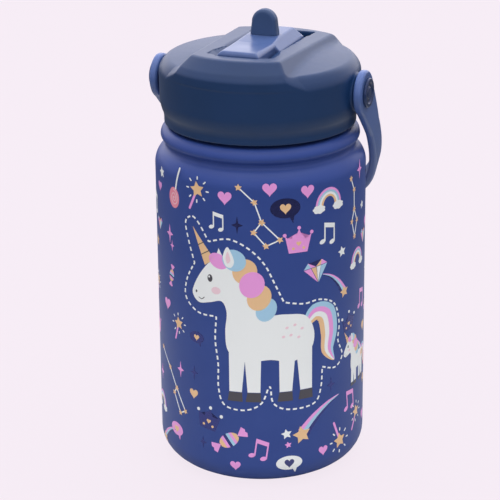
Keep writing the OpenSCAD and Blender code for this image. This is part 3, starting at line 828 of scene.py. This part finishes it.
def placed(points, u, v, size=1.0, tilt=0.0):
    c, s = math.cos(math.radians(tilt)), math.sin(math.radians(tilt))
    return [(u + size * (x * c - y * s), v + size * (x * s + y * c)) for x, y in points]


def oval(ru, rv, steps=24):
    return [(ru * math.cos(a), rv * math.sin(a)) for a in (2 * math.pi * i / steps for i in range(steps))]


def starShape(points=5, inner=0.5):
    shape = []
    for i in range(2 * points):
        a = math.pi / 2 + math.pi * i / points
        r = inner if i % 2 else 1
        shape.append((r * math.cos(a), r * math.sin(a)))
    return shape


def heartShape(steps=26):
    shape = []
    for i in range(steps):
        a = 2 * math.pi * i / steps
        x = 16 * math.sin(a) ** 3
        y = 13 * math.cos(a) - 5 * math.cos(2 * a) - 2 * math.cos(3 * a) - math.cos(4 * a)
        shape.append((x / 32, y / 30))
    return shape


def cloudShape(bumps=7, height=0.62, steps=42):
    shape = []
    for i in range(steps):
        a = 2 * math.pi * i / steps
        swell = 0.86 + 0.16 * abs(math.sin(bumps * a / 2))
        shape.append((swell * math.cos(a), height * swell * math.sin(a)))
    return shape


# Catmull-Rom through the anchors; an anchor given twice makes a corner
def smooth(anchors, closed=True, steps=6):
    points = [Vector(a) for a in anchors]
    count = len(points)
    curve = []
    for i in range(count if closed else count - 1):
        p0 = points[i - 1] if closed or i else points[0]
        p1 = points[i]
        p2 = points[(i + 1) % count]
        p3 = points[(i + 2) % count] if closed or i + 2 < count else points[-1]
        if (p2 - p1).length < 1e-6:
            continue
        m1 = (p2 - p0) / 2 if (p1 - p0).length > 1e-6 else (p2 - p1) / 3
        m2 = (p3 - p1) / 2 if (p3 - p2).length > 1e-6 else (p2 - p1) / 3
        for step in range(steps):
            t = step / steps
            curve.append((2 * t ** 3 - 3 * t ** 2 + 1) * p1 + (t ** 3 - 2 * t ** 2 + t) * m1
                         + (3 * t ** 2 - 2 * t ** 3) * p2 + (t ** 3 - t ** 2) * m2)
    if not closed:
        curve.append(points[-1])
    return curve


# A band along a spine between two fractions of its width, for hair, tails, rainbows and strokes
def ribbon(name, spine, widths, low=0.0, high=1.0, layer=0):
    left, right = [], []
    for i, p in enumerate(spine):
        ahead = spine[min(i + 1, len(spine) - 1)]
        behind = spine[max(i - 1, 0)]
        along = (ahead - behind).normalized()
        across = Vector((-along.y, along.x))
        at = i / (len(spine) - 1) * (len(widths) - 1)
        k = min(int(at), len(widths) - 2)
        width = widths[k] + (widths[k + 1] - widths[k]) * (at - k)
        left.append(p + across * width * (high - 0.5))
        right.append(p + across * width * (low - 0.5))
    for i in range(len(spine) - 1):
        prints[name].append(([right[i], right[i + 1], left[i + 1], left[i]], layer))


def stroke(name, points, width, layer=0):
    spine = [Vector(p) for p in points]
    ribbon(name, spine, [width, width], layer=layer)
    for end in (spine[0], spine[-1]):
        ink(name, placed(oval(width / 2, width / 2, 8), end.x, end.y), layer)


def dashes(name, path, d):
    path = path + [path[0]]
    travelled = 0.0
    lengths = [0.0]
    for a, b in zip(path, path[1:]):
        lengths.append(lengths[-1] + (b - a).length)
    pitch = lengths[-1] / round(lengths[-1] / (d["dash"] + d["dashGap"]))

    def at(distance):
        k = max(i for i in range(len(lengths) - 1) if lengths[i] <= distance + 1e-9)
        part = (distance - lengths[k]) / max(lengths[k + 1] - lengths[k], 1e-9)
        return path[k].lerp(path[k + 1], min(part, 1))

    while travelled < lengths[-1] - 0.5 * pitch:
        middle = travelled + d["dash"] / 2
        spots = [at(travelled), at(min(middle, lengths[-1])), at(min(travelled + d["dash"], lengths[-1]))]
        ribbon(name, spots, [d["dashWidth"], d["dashWidth"]])
        travelled += pitch


# Small motifs, each drawn about its own middle
def heart(u, v, size, name="pink", layer=0):
    ink(name, placed(heartShape(), u, v, size), layer)


def star(u, v, size, name="white", tilt=10, layer=0, inner=0.5):
    ink(name, placed(starShape(5, inner), u, v, size, tilt), layer)


def sparkle(u, v, size, name="pink"):
    ink(name, placed([(x * 0.62, y) for x, y in starShape(4, 0.3)], u, v, size))


def note(u, v, size, name="white", tilt=0.0):
    for x, y in ((-2.9, -3.2), (1.5, -4.0)):
        ink(name, placed(placed(oval(1.25, 0.85, 16), x, y, 1, 20), u, v, size, tilt))
    for foot, head in (((-1.85, -3.1), (-1.85, 3.4)), ((2.5, -3.9), (2.5, 2.3))):
        stroke(name, placed([foot, head], u, v, size, tilt), 0.55 * size)
    ink(name, placed([(-2.1, 2.1), (2.75, 1.0), (2.75, 2.7), (-2.1, 3.8)], u, v, size, tilt))


def crown(u, v, size, name="pink", tilt=0.0, edge="pink"):
    shape = smooth([(-2.9, -3.4), (-2.9, -3.4), (2.6, -3.4), (2.6, -3.4), (3.9, 1.9), (3.9, 1.9),
                    (1.7, -0.4), (1.7, -0.4), (0.1, 3.6), (0.1, 3.6), (-1.5, -0.4), (-1.5, -0.4),
                    (-4.0, 1.7), (-4.0, 1.7)], steps=3)
    ink(name, placed(shape, u, v, size, tilt))
    for x, y in ((3.95, 2.2), (0.1, 3.9), (-4.1, 2.0)):
        ink(edge, placed(placed(oval(0.55, 0.55, 12), x, y), u, v, size, tilt), 1)
    for x in (-1.6, 1.5):
        ink("orange", placed(placed(oval(0.42, 0.42, 12), x, -2.1), u, v, size, tilt), 1)
    ink("orange", placed(placed(heartShape(), 0, -0.7, 1.5), u, v, size, tilt), 1)


def gem(u, v, size, tilt=0.0):
    top, girdle, foot = 2.3, 0.9, -3.3
    facets = (
        ("foil", [(-2.0, top), (1.9, top), (0, girdle)]),
        ("blue", [(-3.3, girdle), (-2.0, top), (-1.4, girdle)]),
        ("pink", [(-1.4, girdle), (-2.0, top), (0, girdle)]),
        ("orange", [(0, girdle), (1.9, top), (1.4, girdle)]),
        ("pink", [(1.4, girdle), (1.9, top), (3.3, girdle)]),
        ("pink", [(-3.3, girdle - 0.15), (-1.4, girdle - 0.15), (0, foot)]),
        ("orange", [(-1.25, girdle - 0.15), (0.1, girdle - 0.15), (0.05, foot + 0.2)]),
        ("white", [(0.25, girdle - 0.15), (1.4, girdle - 0.15), (0.1, foot + 0.2)]),
        ("blue", [(1.5, girdle - 0.15), (3.3, girdle - 0.15), (0.2, foot)]),
    )
    for name, facet in facets:
        ink(name, placed(facet, u, v, size, tilt))


def sweet(u, v, size, tilt):
    for side in (-1, 1):
        fan = [(side * 2.5, 0), (side * 4.6, 1.5), (side * 5.1, 0.5), (side * 4.8, 0), (side * 5.1, -0.6),
               (side * 4.6, -1.5)]
        ink("pink", placed(fan[::side], u, v, size, tilt))
    stripes = (("orange", -2.6, -1.5), ("pink", -1.5, -0.7), ("foil", -0.7, 0.1), ("blue", 0.1, 0.9),
               ("pink", 0.9, 1.6), ("orange", 1.6, 2.6))
    for name, low, high in stripes:
        edge = []
        for x in (low, (low + high) / 2, high):
            edge.append((x, 1.75 * math.sqrt(max(0.04, 1 - (x / 2.75) ** 2))))
        ink(name, placed(edge[::-1] + [(x, -y) for x, y in edge], u, v, size, tilt))


def lollipop(u, v, size):
    stick = smooth([(0.9, 3.0), (1.8, 6.5), (3.2, 10.0)], closed=False, steps=4)
    stroke("white", placed(stick, u, v, size), 0.6 * size)
    ink("coral", placed(oval(2.5, 3.3, 28), u, v, size))
    swirl = []
    for i in range(27):
        a = 0.55 * i
        swirl.append((0.0741 * i * math.cos(a), 0.102 * i * math.sin(a)))
    stroke("rose", placed(swirl, u, v, size), 0.24 * size, 1)


def wand(u, v, size, turn=-115.0, rays=8):
    a = math.radians(turn)
    stick = [(1.2 * math.cos(a), 1.2 * math.sin(a)), (6.8 * math.cos(a), 6.8 * math.sin(a))]
    stroke("pink", placed(stick, u, v, size), 0.75 * size)
    star(u, v, 2.5 * size, "orange", 8, 1, 0.52)
    for i in range(rays):
        b = math.radians(turn + 360 * (i + 0.5) / rays)
        ray = [(r * math.cos(b), r * math.sin(b)) for r in (3.2, 3.9)]
        stroke("white", placed(ray, u, v, size), 0.42 * size)


def rainbow(u, v, size):
    spine = []
    for i in range(17):
        a = math.pi * i / 16
        spine.append(Vector((u - 3.3 * size * math.cos(a), v + 3.9 * size * math.sin(a))))
    bands = ("orange", "white", "blue", "pink")
    for i, name in enumerate(bands):
        ribbon(name, spine, [2.5 * size, 2.5 * size], i / 4, (i + 1) / 4)
    for side in (-1, 1):
        cloud = placed(cloudShape(), u + side * 3.4 * size, v - 0.6 * size, 2.05 * size)
        ink("white", cloud, 1)


def bubble(u, v, size, name="foil", heartInk="orange", ru=4.3, rv=2.9):
    ink(name, placed(oval(ru, rv, 32), u, v, size))
    ink(name, placed([(1.0, -rv + 0.4), (2.6, -rv + 0.8), (2.2, -rv - 1.6)], u, v, size))
    heart(u, v, 3.2 * size, heartInk, 1)


def shootingStar(u, v, size, steepness=1.0, flip=False):
    side = -1 if flip else 1
    tail = [(side * x, y * steepness) for x, y in ((0.5, 0.5), (4.5, 5.0), (9.5, 8.5), (14.5, 10.2))]
    spine = smooth(placed(tail, u, v, size), closed=False, steps=5)
    for i, name in enumerate(("foil", "blue", "pink")):
        part = i if not flip else 2 - i
        ribbon(name, spine, [4.4 * size, 3.2 * size, 1.8 * size, 0.25], part / 3, (part + 1) / 3)
    star(u, v, 3.1 * size, "orange", 12, 1, 0.52)


def constellation(points, starSize=1.3):
    for a, b in zip(points, points[1:]):
        stroke("white", [a, b], 0.45)
    for i, (u, v) in enumerate(points):
        star(u, v, starSize, "orange", 20 * i, 1)


# A plain standing unicorn in profile: any nursery picture's, with round locks for a mane
def unicorn(u, v, size):
    def shape(name, anchors, layer=0, steps=6):
        ink(name, placed(smooth(anchors, steps=steps), u, v, size), layer)

    def disc(name, spot, ru, rv, tilt=0.0, layer=0):
        ink(name, placed(placed(oval(ru, rv, 22), *spot, 1, tilt), u, v, size), layer)

    def line(name, anchors, width, layer):
        stroke(name, placed(smooth(anchors, closed=False, steps=4), u, v, size), width * size, layer)

    # far ear, tail and legs first, then the body over them
    shape("white", [(-14.6, 88.4), (-14.6, 88.4), (-12.2, 83.6), (-12.2, 83.6), (-16.4, 83.4), (-16.4, 83.4)],
          steps=2)
    tail = placed(smooth([(15.0, 60.0), (19.0, 64.2), (23.6, 62.6), (25.0, 56.0), (24.4, 49.4), (27.4, 44.6)],
                         closed=False, steps=6), u, v, size)
    spine = [Vector(p) for p in tail]
    for i, name in enumerate(("orange", "white", "pink", "blue")):
        ribbon(name, spine, [w * size for w in (2.0, 6.4, 8.0, 7.4, 5.4, 0.4)], i / 4, (i + 1) / 4)
    for top, foot in ((-8.4, -9.2), (-3.2, -2.8), (8.8, 8.2), (14.8, 15.6)):
        leg = [(top - 3.0, 53), (foot - 2.2, 36.6), (foot + 2.2, 36.6), (top + 3.0, 53)]
        hoof = [(foot - 2.3, 36.4), (foot - 2.9, 33.0), (foot + 2.5, 33.0), (foot + 2.3, 36.4)]
        ink("white", placed(leg, u, v, size))
        ink("grey", placed(hoof, u, v, size), 1)
    shape("white", [(-12.0, 84.4), (-17.0, 83.6), (-21.0, 79.5), (-24.4, 73.8), (-25.2, 70.2), (-22.6, 67.6),
                    (-18.2, 68.4), (-13.8, 69.4), (-12.0, 65.4), (-12.6, 58.5), (-11.6, 51.4), (-6.0, 48.0),
                    (3.0, 48.8), (10.5, 47.6), (17.2, 51.0), (18.6, 57.5), (15.4, 63.8), (8.0, 65.2),
                    (1.0, 65.4), (-3.2, 70.5), (-6.2, 78.0), (-8.8, 83.0)], 1)
    horn = [(-24.6, 94.4), (-24.6, 94.4), (-19.9, 81.6), (-19.9, 81.6), (-16.2, 84.2), (-16.2, 84.2)]
    shape("orange", horn, 2, 2)
    for low, high in (((-21.2, 85.2), (-18.2, 87.0)), ((-22.4, 88.4), (-20.4, 89.6))):
        line("grey", [low, high], 0.3, 3)
    # mane and fringe: locks that lie over one another from the poll to the withers
    locks = ((-14.8, 83.8, 3.6, 2.6, "pink"), (1.6, 67.2, 3.4, 4.4, "blue"), (-0.8, 71.6, 4.0, 4.8, "orange"),
             (-3.2, 76.2, 4.2, 4.8, "pink"), (-5.6, 80.8, 4.2, 4.6, "orange"), (-9.2, 84.6, 4.2, 3.8, "blue"))
    for i, (x, y, ru, rv, name) in enumerate(locks):
        disc(name, (x, y), ru, rv, -25, 2 + i % 4)
    shape("white", [(-11.4, 89.2), (-13.0, 86.0), (-12.2, 82.6), (-10.2, 82.0), (-9.2, 84.6)], 6, 5)
    shape("rose", [(-11.3, 87.6), (-12.1, 85.4), (-11.5, 83.4), (-10.4, 84.6)], 7, 4)
    # open eye, nostril, smile and a blush
    disc("grey", (-18.0, 77.2), 0.95, 1.35, 0, 2)
    disc("white", (-18.3, 77.7), 0.3, 0.4, 0, 3)
    disc("grey", (-23.6, 71.4), 0.35, 0.5, 0, 2)
    line("grey", [(-22.6, 69.4), (-21.4, 69.0), (-20.4, 69.8)], 0.26, 2)
    disc("rose", (-15.8, 73.0), 1.7, 1.3, 0, 2)
    for x, y in ((8.6, 60.2), (11.4, 61.0), (14.0, 59.4), (10.0, 57.4), (12.8, 56.4), (7.4, 57.0)):
        disc("rose", (x, y), 0.6, 0.45, 15, 2)


def unicornPanel():
    unicorn(0, 0, 1.0)
    path = [(-24.8, 98.0), (-21.6, 95.4), (-18.4, 90.2), (-18.4, 90.2), (-11.0, 92.0), (-4.2, 89.0),
            (1.0, 83.6), (4.4, 76.6), (7.6, 69.6), (7.6, 69.6), (14.8, 68.2), (21.0, 68.6), (27.4, 65.4),
            (29.8, 57.6),
            (29.2, 51.4), (31.6, 45.2), (28.0, 41.6), (22.0, 43.4), (22.0, 43.4), (21.4, 35.4), (18.6, 30.4),
            (9.0, 29.8), (3.8, 32.6), (2.6, 39.0), (-0.2, 32.6), (-6.0, 29.8), (-13.2, 31.0), (-15.4, 37.0),
            (-15.4, 46.0), (-16.4, 55.0), (-15.8, 63.6), (-15.8, 63.6), (-23.2, 63.8), (-28.6, 68.2),
            (-27.8, 75.0), (-24.2, 81.4), (-24.2, 81.4), (-26.6, 88.6), (-28.0, 95.4)]
    dashes("white", smooth(path, steps=5), art)


# Each motif with its places: u, v, size and what else its function takes
def scatter():
    motifs = (
        (heart, (-12.2, 106.6, 4.9), (2.9, 110.0, 4.9), (16.0, 108.2, 4.8), (-40.2, 62.0, 4.4),
         (-44.8, 103.6, 3.6), (22.6, 11.4, 3.8), (-9.6, 8.4, 3.8), (-25.8, 32.6, 3.8, "orange"),
         (50.0, 15.0, 4.0), (52.0, 88.0, 4.2), (49.0, 50.0, 4.0, "orange")),
        (star, (31.0, 83.4, 2.0), (8.4, 20.4, 2.0), (9.0, 16.2, 1.3, "pink"), (-42.4, 109.0, 2.0),
         (54.0, 70.0, 2.0), (50.6, 29.0, 2.0, "orange"), (-50.0, 82.0, 2.1, "orange"), (45.5, 96.0, 1.6)),
        (sparkle, (-37.2, 88.6, 3.4), (-35.8, 84.6, 2.0), (-32.4, 39.6, 3.0), (-8.0, 97.2, 3.2, "foil"),
         (-25.4, 40.6, 2.8, "foil"), (26.0, 35.5, 3.0, "foil"), (42.6, 109.6, 3.4), (-48.0, 33.0, 3.0),
         (53.0, 106.0, 3.0, "foil"), (-22.0, 15.0, 2.4, "foil")),
        (note, (-14.9, 98.2, 0.78), (24.6, 92.2, 0.95), (-0.6, 15.4, 0.95, "pink", -8),
         (36.6, 26.6, 0.95, "pink", 6), (-52.0, 96.0, 0.9), (46.0, 62.0, 0.9, "pink")),
        (wand, (-22.6, 107.8, 1.15), (-32.9, 56.8, 0.95, -108), (30.6, 12.6, 1.2, 112),
         (41.6, 19.6, 1.0, -118), (-51.0, 67.0, 0.85)),
        (lollipop, (-33.9, 102.4, 1.12), (52.4, 36.0, 0.8)),
        (rainbow, (24.6, 101.6, 1.22), (41.4, 76.6, 1.0), (-49.0, 20.0, 1.0)),
        (crown, (12.8, 91.0, 1.2), (35.4, 56.2, 0.95, "foil", 0, "white"),
         (-19.4, 24.4, 1.15, "foil", -8, "white"), (-53.0, 50.0, 0.95)),
        (gem, (19.4, 79.6, 1.4, 8), (47.6, 84.6, 0.9, -6), (-46.0, 90.0, 0.8)),
        (sweet, (-36.6, 73.4, 0.82, 78), (-11.8, 17.8, 1.45, 34), (54.6, 57.0, 0.8, 20)),
        (bubble, (8.2, 103.0, 1.2), (-24.0, 54.2, 0.72), (-35.6, 15.6, 0.85, "pink"),
         (9.4, 9.2, 1.1, "white", "indigo", 4.3, 2.5)),
        (shootingStar, (14.0, 19.4, 1.1), (32.4, 68.4, 0.72, 1.236, True), (-46.0, 8.0, 0.7),
         (47.0, 40.4, 0.6, 1.236, True)),
    )
    for draw, *places in motifs:
        for spot in places:
            draw(*spot)
    constellation([(-7.5, 110.4), (-2.2, 105.4), (0.2, 98.4), (-2.5, 94.8), (1.6, 90.0), (6.3, 92.0),
                   (0.2, 98.4)])
    constellation([(36.0, 108.0), (38.2, 103.6), (38.4, 96.6), (36.8, 92.4), (38.8, 86.6), (40.6, 92.0),
                   (38.4, 96.6)], 1.1)
    constellation([(-45.6, 43.4), (-39.4, 38.0), (-35.0, 31.6), (-36.6, 29.4), (-33.0, 22.8), (-30.2, 24.2),
                   (-35.0, 31.6)], 1.1)
    unicorn(41.6, 19.0, 0.36)


def layArt(d):
    reach = flask["radius"]
    corner = flask["cornerRadius"]

    def lay(u, v, height):
        a = math.radians(d["centreAngle"]) + u / reach
        if v < corner:
            lean = (corner - v) / corner                # follows the rounded corner round the base
            r = reach - corner + (corner + height) * math.cos(lean)
            z = corner - (corner + height) * math.sin(lean)
        else:
            r, z = reach + height, v
        return Vector((r * math.cos(a), r * math.sin(a), z)) * mm

    for name, shapes in prints.items():
        verts, faces = [], []
        for outline, layer in shapes:
            work = bmesh.new()
            work.faces.new([work.verts.new((p.x, p.y, 0)) for p in outline])
            if len(outline) > 4:
                bmesh.ops.triangulate(work, faces=work.faces)
            low = min(p.x for p in outline)
            high = max(p.x for p in outline)
            bottom = min(p.y for p in outline)
            cuts = [((k * d["strip"], 0, 0), (1, 0, 0))
                    for k in range(math.ceil(low / d["strip"]), math.ceil(high / d["strip"]))]
            cuts += [((0, k, 0), (0, 1, 0)) for k in range(math.ceil(bottom), math.ceil(corner))]
            for spot, normal in cuts:
                bmesh.ops.bisect_plane(work, geom=work.verts[:] + work.edges[:] + work.faces[:], dist=1e-5,
                                       plane_co=spot, plane_no=normal)
            work.verts.index_update()
            count = len(work.verts)
            flat = [v.co.to_2d() for v in work.verts]
            top = d["inkHeight"] + d["layerStep"] * layer
            sides = []
            for edge in work.edges:
                if edge.is_boundary:
                    loop = edge.link_loops[0]
                    sides.append((loop.vert.index, loop.link_loop_next.vert.index))
            area = sum(f.calc_area() * (1 if f.normal.z > 0 else -1) for f in work.faces)
            for copy in range(d["copies"]):
                shift = 2 * math.pi * reach * copy / d["copies"]
                base = len(verts)
                verts += [lay(p.x + shift, p.y, top) for p in flat]
                verts += [lay(p.x + shift, p.y, -d["sink"]) for p in flat]
                for face in work.faces:
                    corners = [v.index for v in face.verts]
                    if area < 0:
                        corners.reverse()
                    faces.append([base + i for i in corners])
                    faces.append([base + count + i for i in reversed(corners)])
                for a, b in sides:
                    if area < 0:
                        a, b = b, a
                    faces.append([base + b, base + a, base + count + a, base + count + b])
            work.free()
        mesh = bpy.data.meshes.new("print" + name.capitalize())
        mesh.from_pydata(verts, [], faces)
        mesh.validate()
        link("print" + name.capitalize(), mesh, [inks[name]], "flask", "flask_paint")


unicornPanel()
scatter()
layArt(art)
print("art printed:", sum(len(shapes) for shapes in prints.values()), "shapes")


# Studio: camera, pale floor and soft lamps
studio = {
    "background": "#f7edf6",
    "cameraDistance": 0.6579,
    "cameraHeight": 20.06,
    "cameraTurn": 20.0,
    "cameraRoll": -0.525,
    "lens": 134.5,
    "sensorWidth": 36,
    "aimHeight": 0.080,
    "aimRight": -0.00394,
    "aimUp": -0.00455,
    "worldLevel": 0.30,
    "floorRadius": 6.0,
    "floorGap": 0.0002,
    "tintLevel": 0.93,
    "shadowColour": (0.04, 0.037, 0.04, 1),
    # a pool of light painted on the floor round the bottle, seen only by bounced and reflected rays
    "paintedPoolRadius": 0.15,
    "paintedPoolLevel": 0.5,
    "roomLevel": 0.1,
    "softboxes": (                              # name, level, size, place, target, seen in reflections
        ("overheadSoftbox", 2.2, (2.0, 2.0), (0, 0.1, 1.1), (0, 0, 0.1), False),
        ("frontFill", 1.1, (2.0, 1.4), (0, -1.7, 0.7), (0, 0, 0.08), False),
        ("backWall", 1.0, (3.0, 1.4), (0, 1.5, 0.75), (0, 0, 0.2), True),
    ),
}


def addCamera(d):
    turn, height = math.radians(d["cameraTurn"]), math.radians(d["cameraHeight"])
    level = math.cos(height)
    toCamera = Vector((math.sin(turn) * level, -math.cos(turn) * level, math.sin(height)))
    aim = Vector((0, 0, d["aimHeight"]))
    camera = bpy.data.objects.new("camera", bpy.data.cameras.new("camera"))
    camera.data.lens = d["lens"]
    camera.data.sensor_width = d["sensorWidth"]
    camera.location = aim + toCamera * d["cameraDistance"]
    axes = toCamera.to_track_quat("Z", "Y").to_matrix()
    target = aim + axes.col[0] * d["aimRight"] + axes.col[1] * d["aimUp"]
    look = (camera.location - target).to_track_quat("Z", "Y").to_matrix().to_4x4()
    look = look @ Matrix.Rotation(math.radians(d["cameraRoll"]), 4, "Z")
    camera.matrix_world = Matrix.Translation(camera.location) @ look
    bpy.context.scene.collection.objects.link(camera)
    bpy.context.scene.camera = camera


def addPanel(name, level, size, position, target, mirrored):
    lamp = bpy.data.lights.new(name, "AREA")
    lamp.shape = "RECTANGLE"
    lamp.size, lamp.size_y = size
    lamp.energy = level * math.pi * size[0] * size[1]
    panel = bpy.data.objects.new(name, lamp)
    turn = Matrix.Rotation(math.radians(studio["cameraTurn"]), 4, "Z")
    position, target = turn @ Vector(position), turn @ Vector(target)
    facing = (position - target).to_track_quat("Z", "Y").to_matrix().to_4x4()
    panel.matrix_world = Matrix.Translation(position) @ facing
    panel.visible_camera = False
    panel.visible_glossy = mirrored
    bpy.context.scene.collection.objects.link(panel)


def addWorld(d):
    world = bpy.data.worlds.new("studioWorld")
    bpy.context.scene.world = world
    world.use_nodes = True
    world.node_tree.nodes.clear()
    lit = addNode(world, "ShaderNodeBackground", {"Color": (1, 1, 1, 1), "Strength": d["worldLevel"]})
    seen = addNode(world, "ShaderNodeBackground", {"Color": srgb(d["background"]), "Strength": 1.0})
    path = addNode(world, "ShaderNodeLightPath")
    looks = path.outputs["Is Camera Ray"]
    for kind in ("Is Glossy Ray", "Is Transmission Ray"):
        either = addNode(world, "ShaderNodeMath", {}, {0: looks, 1: path.outputs[kind]}, operation="MAXIMUM")
        looks = either.outputs[0]
    mix = addNode(world, "ShaderNodeMixShader", {}, {0: looks, 1: lit.outputs[0], 2: seen.outputs[0]})
    addNode(world, "ShaderNodeOutputWorld", {}, {"Surface": mix.outputs[0]})


# Seamless studio paper. The camera sees its pale tint, with a weak shadow where the bottle stands;
# other rays meet a grey sheet with a pool of light painted round the bottle
def addFloor(d):
    material = bpy.data.materials.new("seamlessPaper")
    material.use_nodes = True
    material.node_tree.nodes.clear()
    spot = addNode(material, "ShaderNodeTexCoord")
    reach = addNode(material, "ShaderNodeVectorMath", {}, {0: spot.outputs["Object"]}, operation="LENGTH")
    # painted pool of light: the sheet's grey is lighter near the bottle than further off
    paintedPool = {"From Min": d["paintedPoolRadius"], "From Max": 2 * d["paintedPoolRadius"],
            "To Min": d["paintedPoolLevel"], "To Max": d["roomLevel"]}
    fall = addNode(material, "ShaderNodeMapRange", paintedPool, {"Value": reach.outputs["Value"]})
    grey = {channel: fall.outputs[0] for channel in ("Red", "Green", "Blue")}
    shade = addNode(material, "ShaderNodeCombineColor", {}, grey)
    paper = addNode(material, "ShaderNodeBsdfDiffuse", {}, {"Color": shade.outputs[0]})
    tint = addNode(material, "ShaderNodeEmission",
                   {"Color": srgb(d["background"]), "Strength": d["tintLevel"]})
    shadow = addNode(material, "ShaderNodeBsdfDiffuse", {"Color": d["shadowColour"]})
    seen = addNode(material, "ShaderNodeAddShader", {}, {0: tint.outputs[0], 1: shadow.outputs[0]})
    path = addNode(material, "ShaderNodeLightPath")
    mix = addNode(material, "ShaderNodeMixShader", {}, {0: path.outputs["Is Camera Ray"],
                                                        1: paper.outputs[0], 2: seen.outputs[0]})
    addNode(material, "ShaderNodeOutputMaterial", {}, {"Surface": mix.outputs[0]})
    mesh = bpy.data.meshes.new("studioFloor")
    work = bmesh.new()
    bmesh.ops.create_circle(work, cap_ends=True, segments=96, radius=d["floorRadius"])
    work.to_mesh(mesh)
    work.free()
    mesh.materials.append(material)
    floor = bpy.data.objects.new("studioFloor", mesh)
    floor.location.z = -d["floorGap"]
    bpy.context.scene.collection.objects.link(floor)


addCamera(studio)
addWorld(studio)
addFloor(studio)
for softbox in studio["softboxes"]:
    addPanel(*softbox)
bpy.context.scene.view_settings.view_transform = "Standard"
print("studio made")
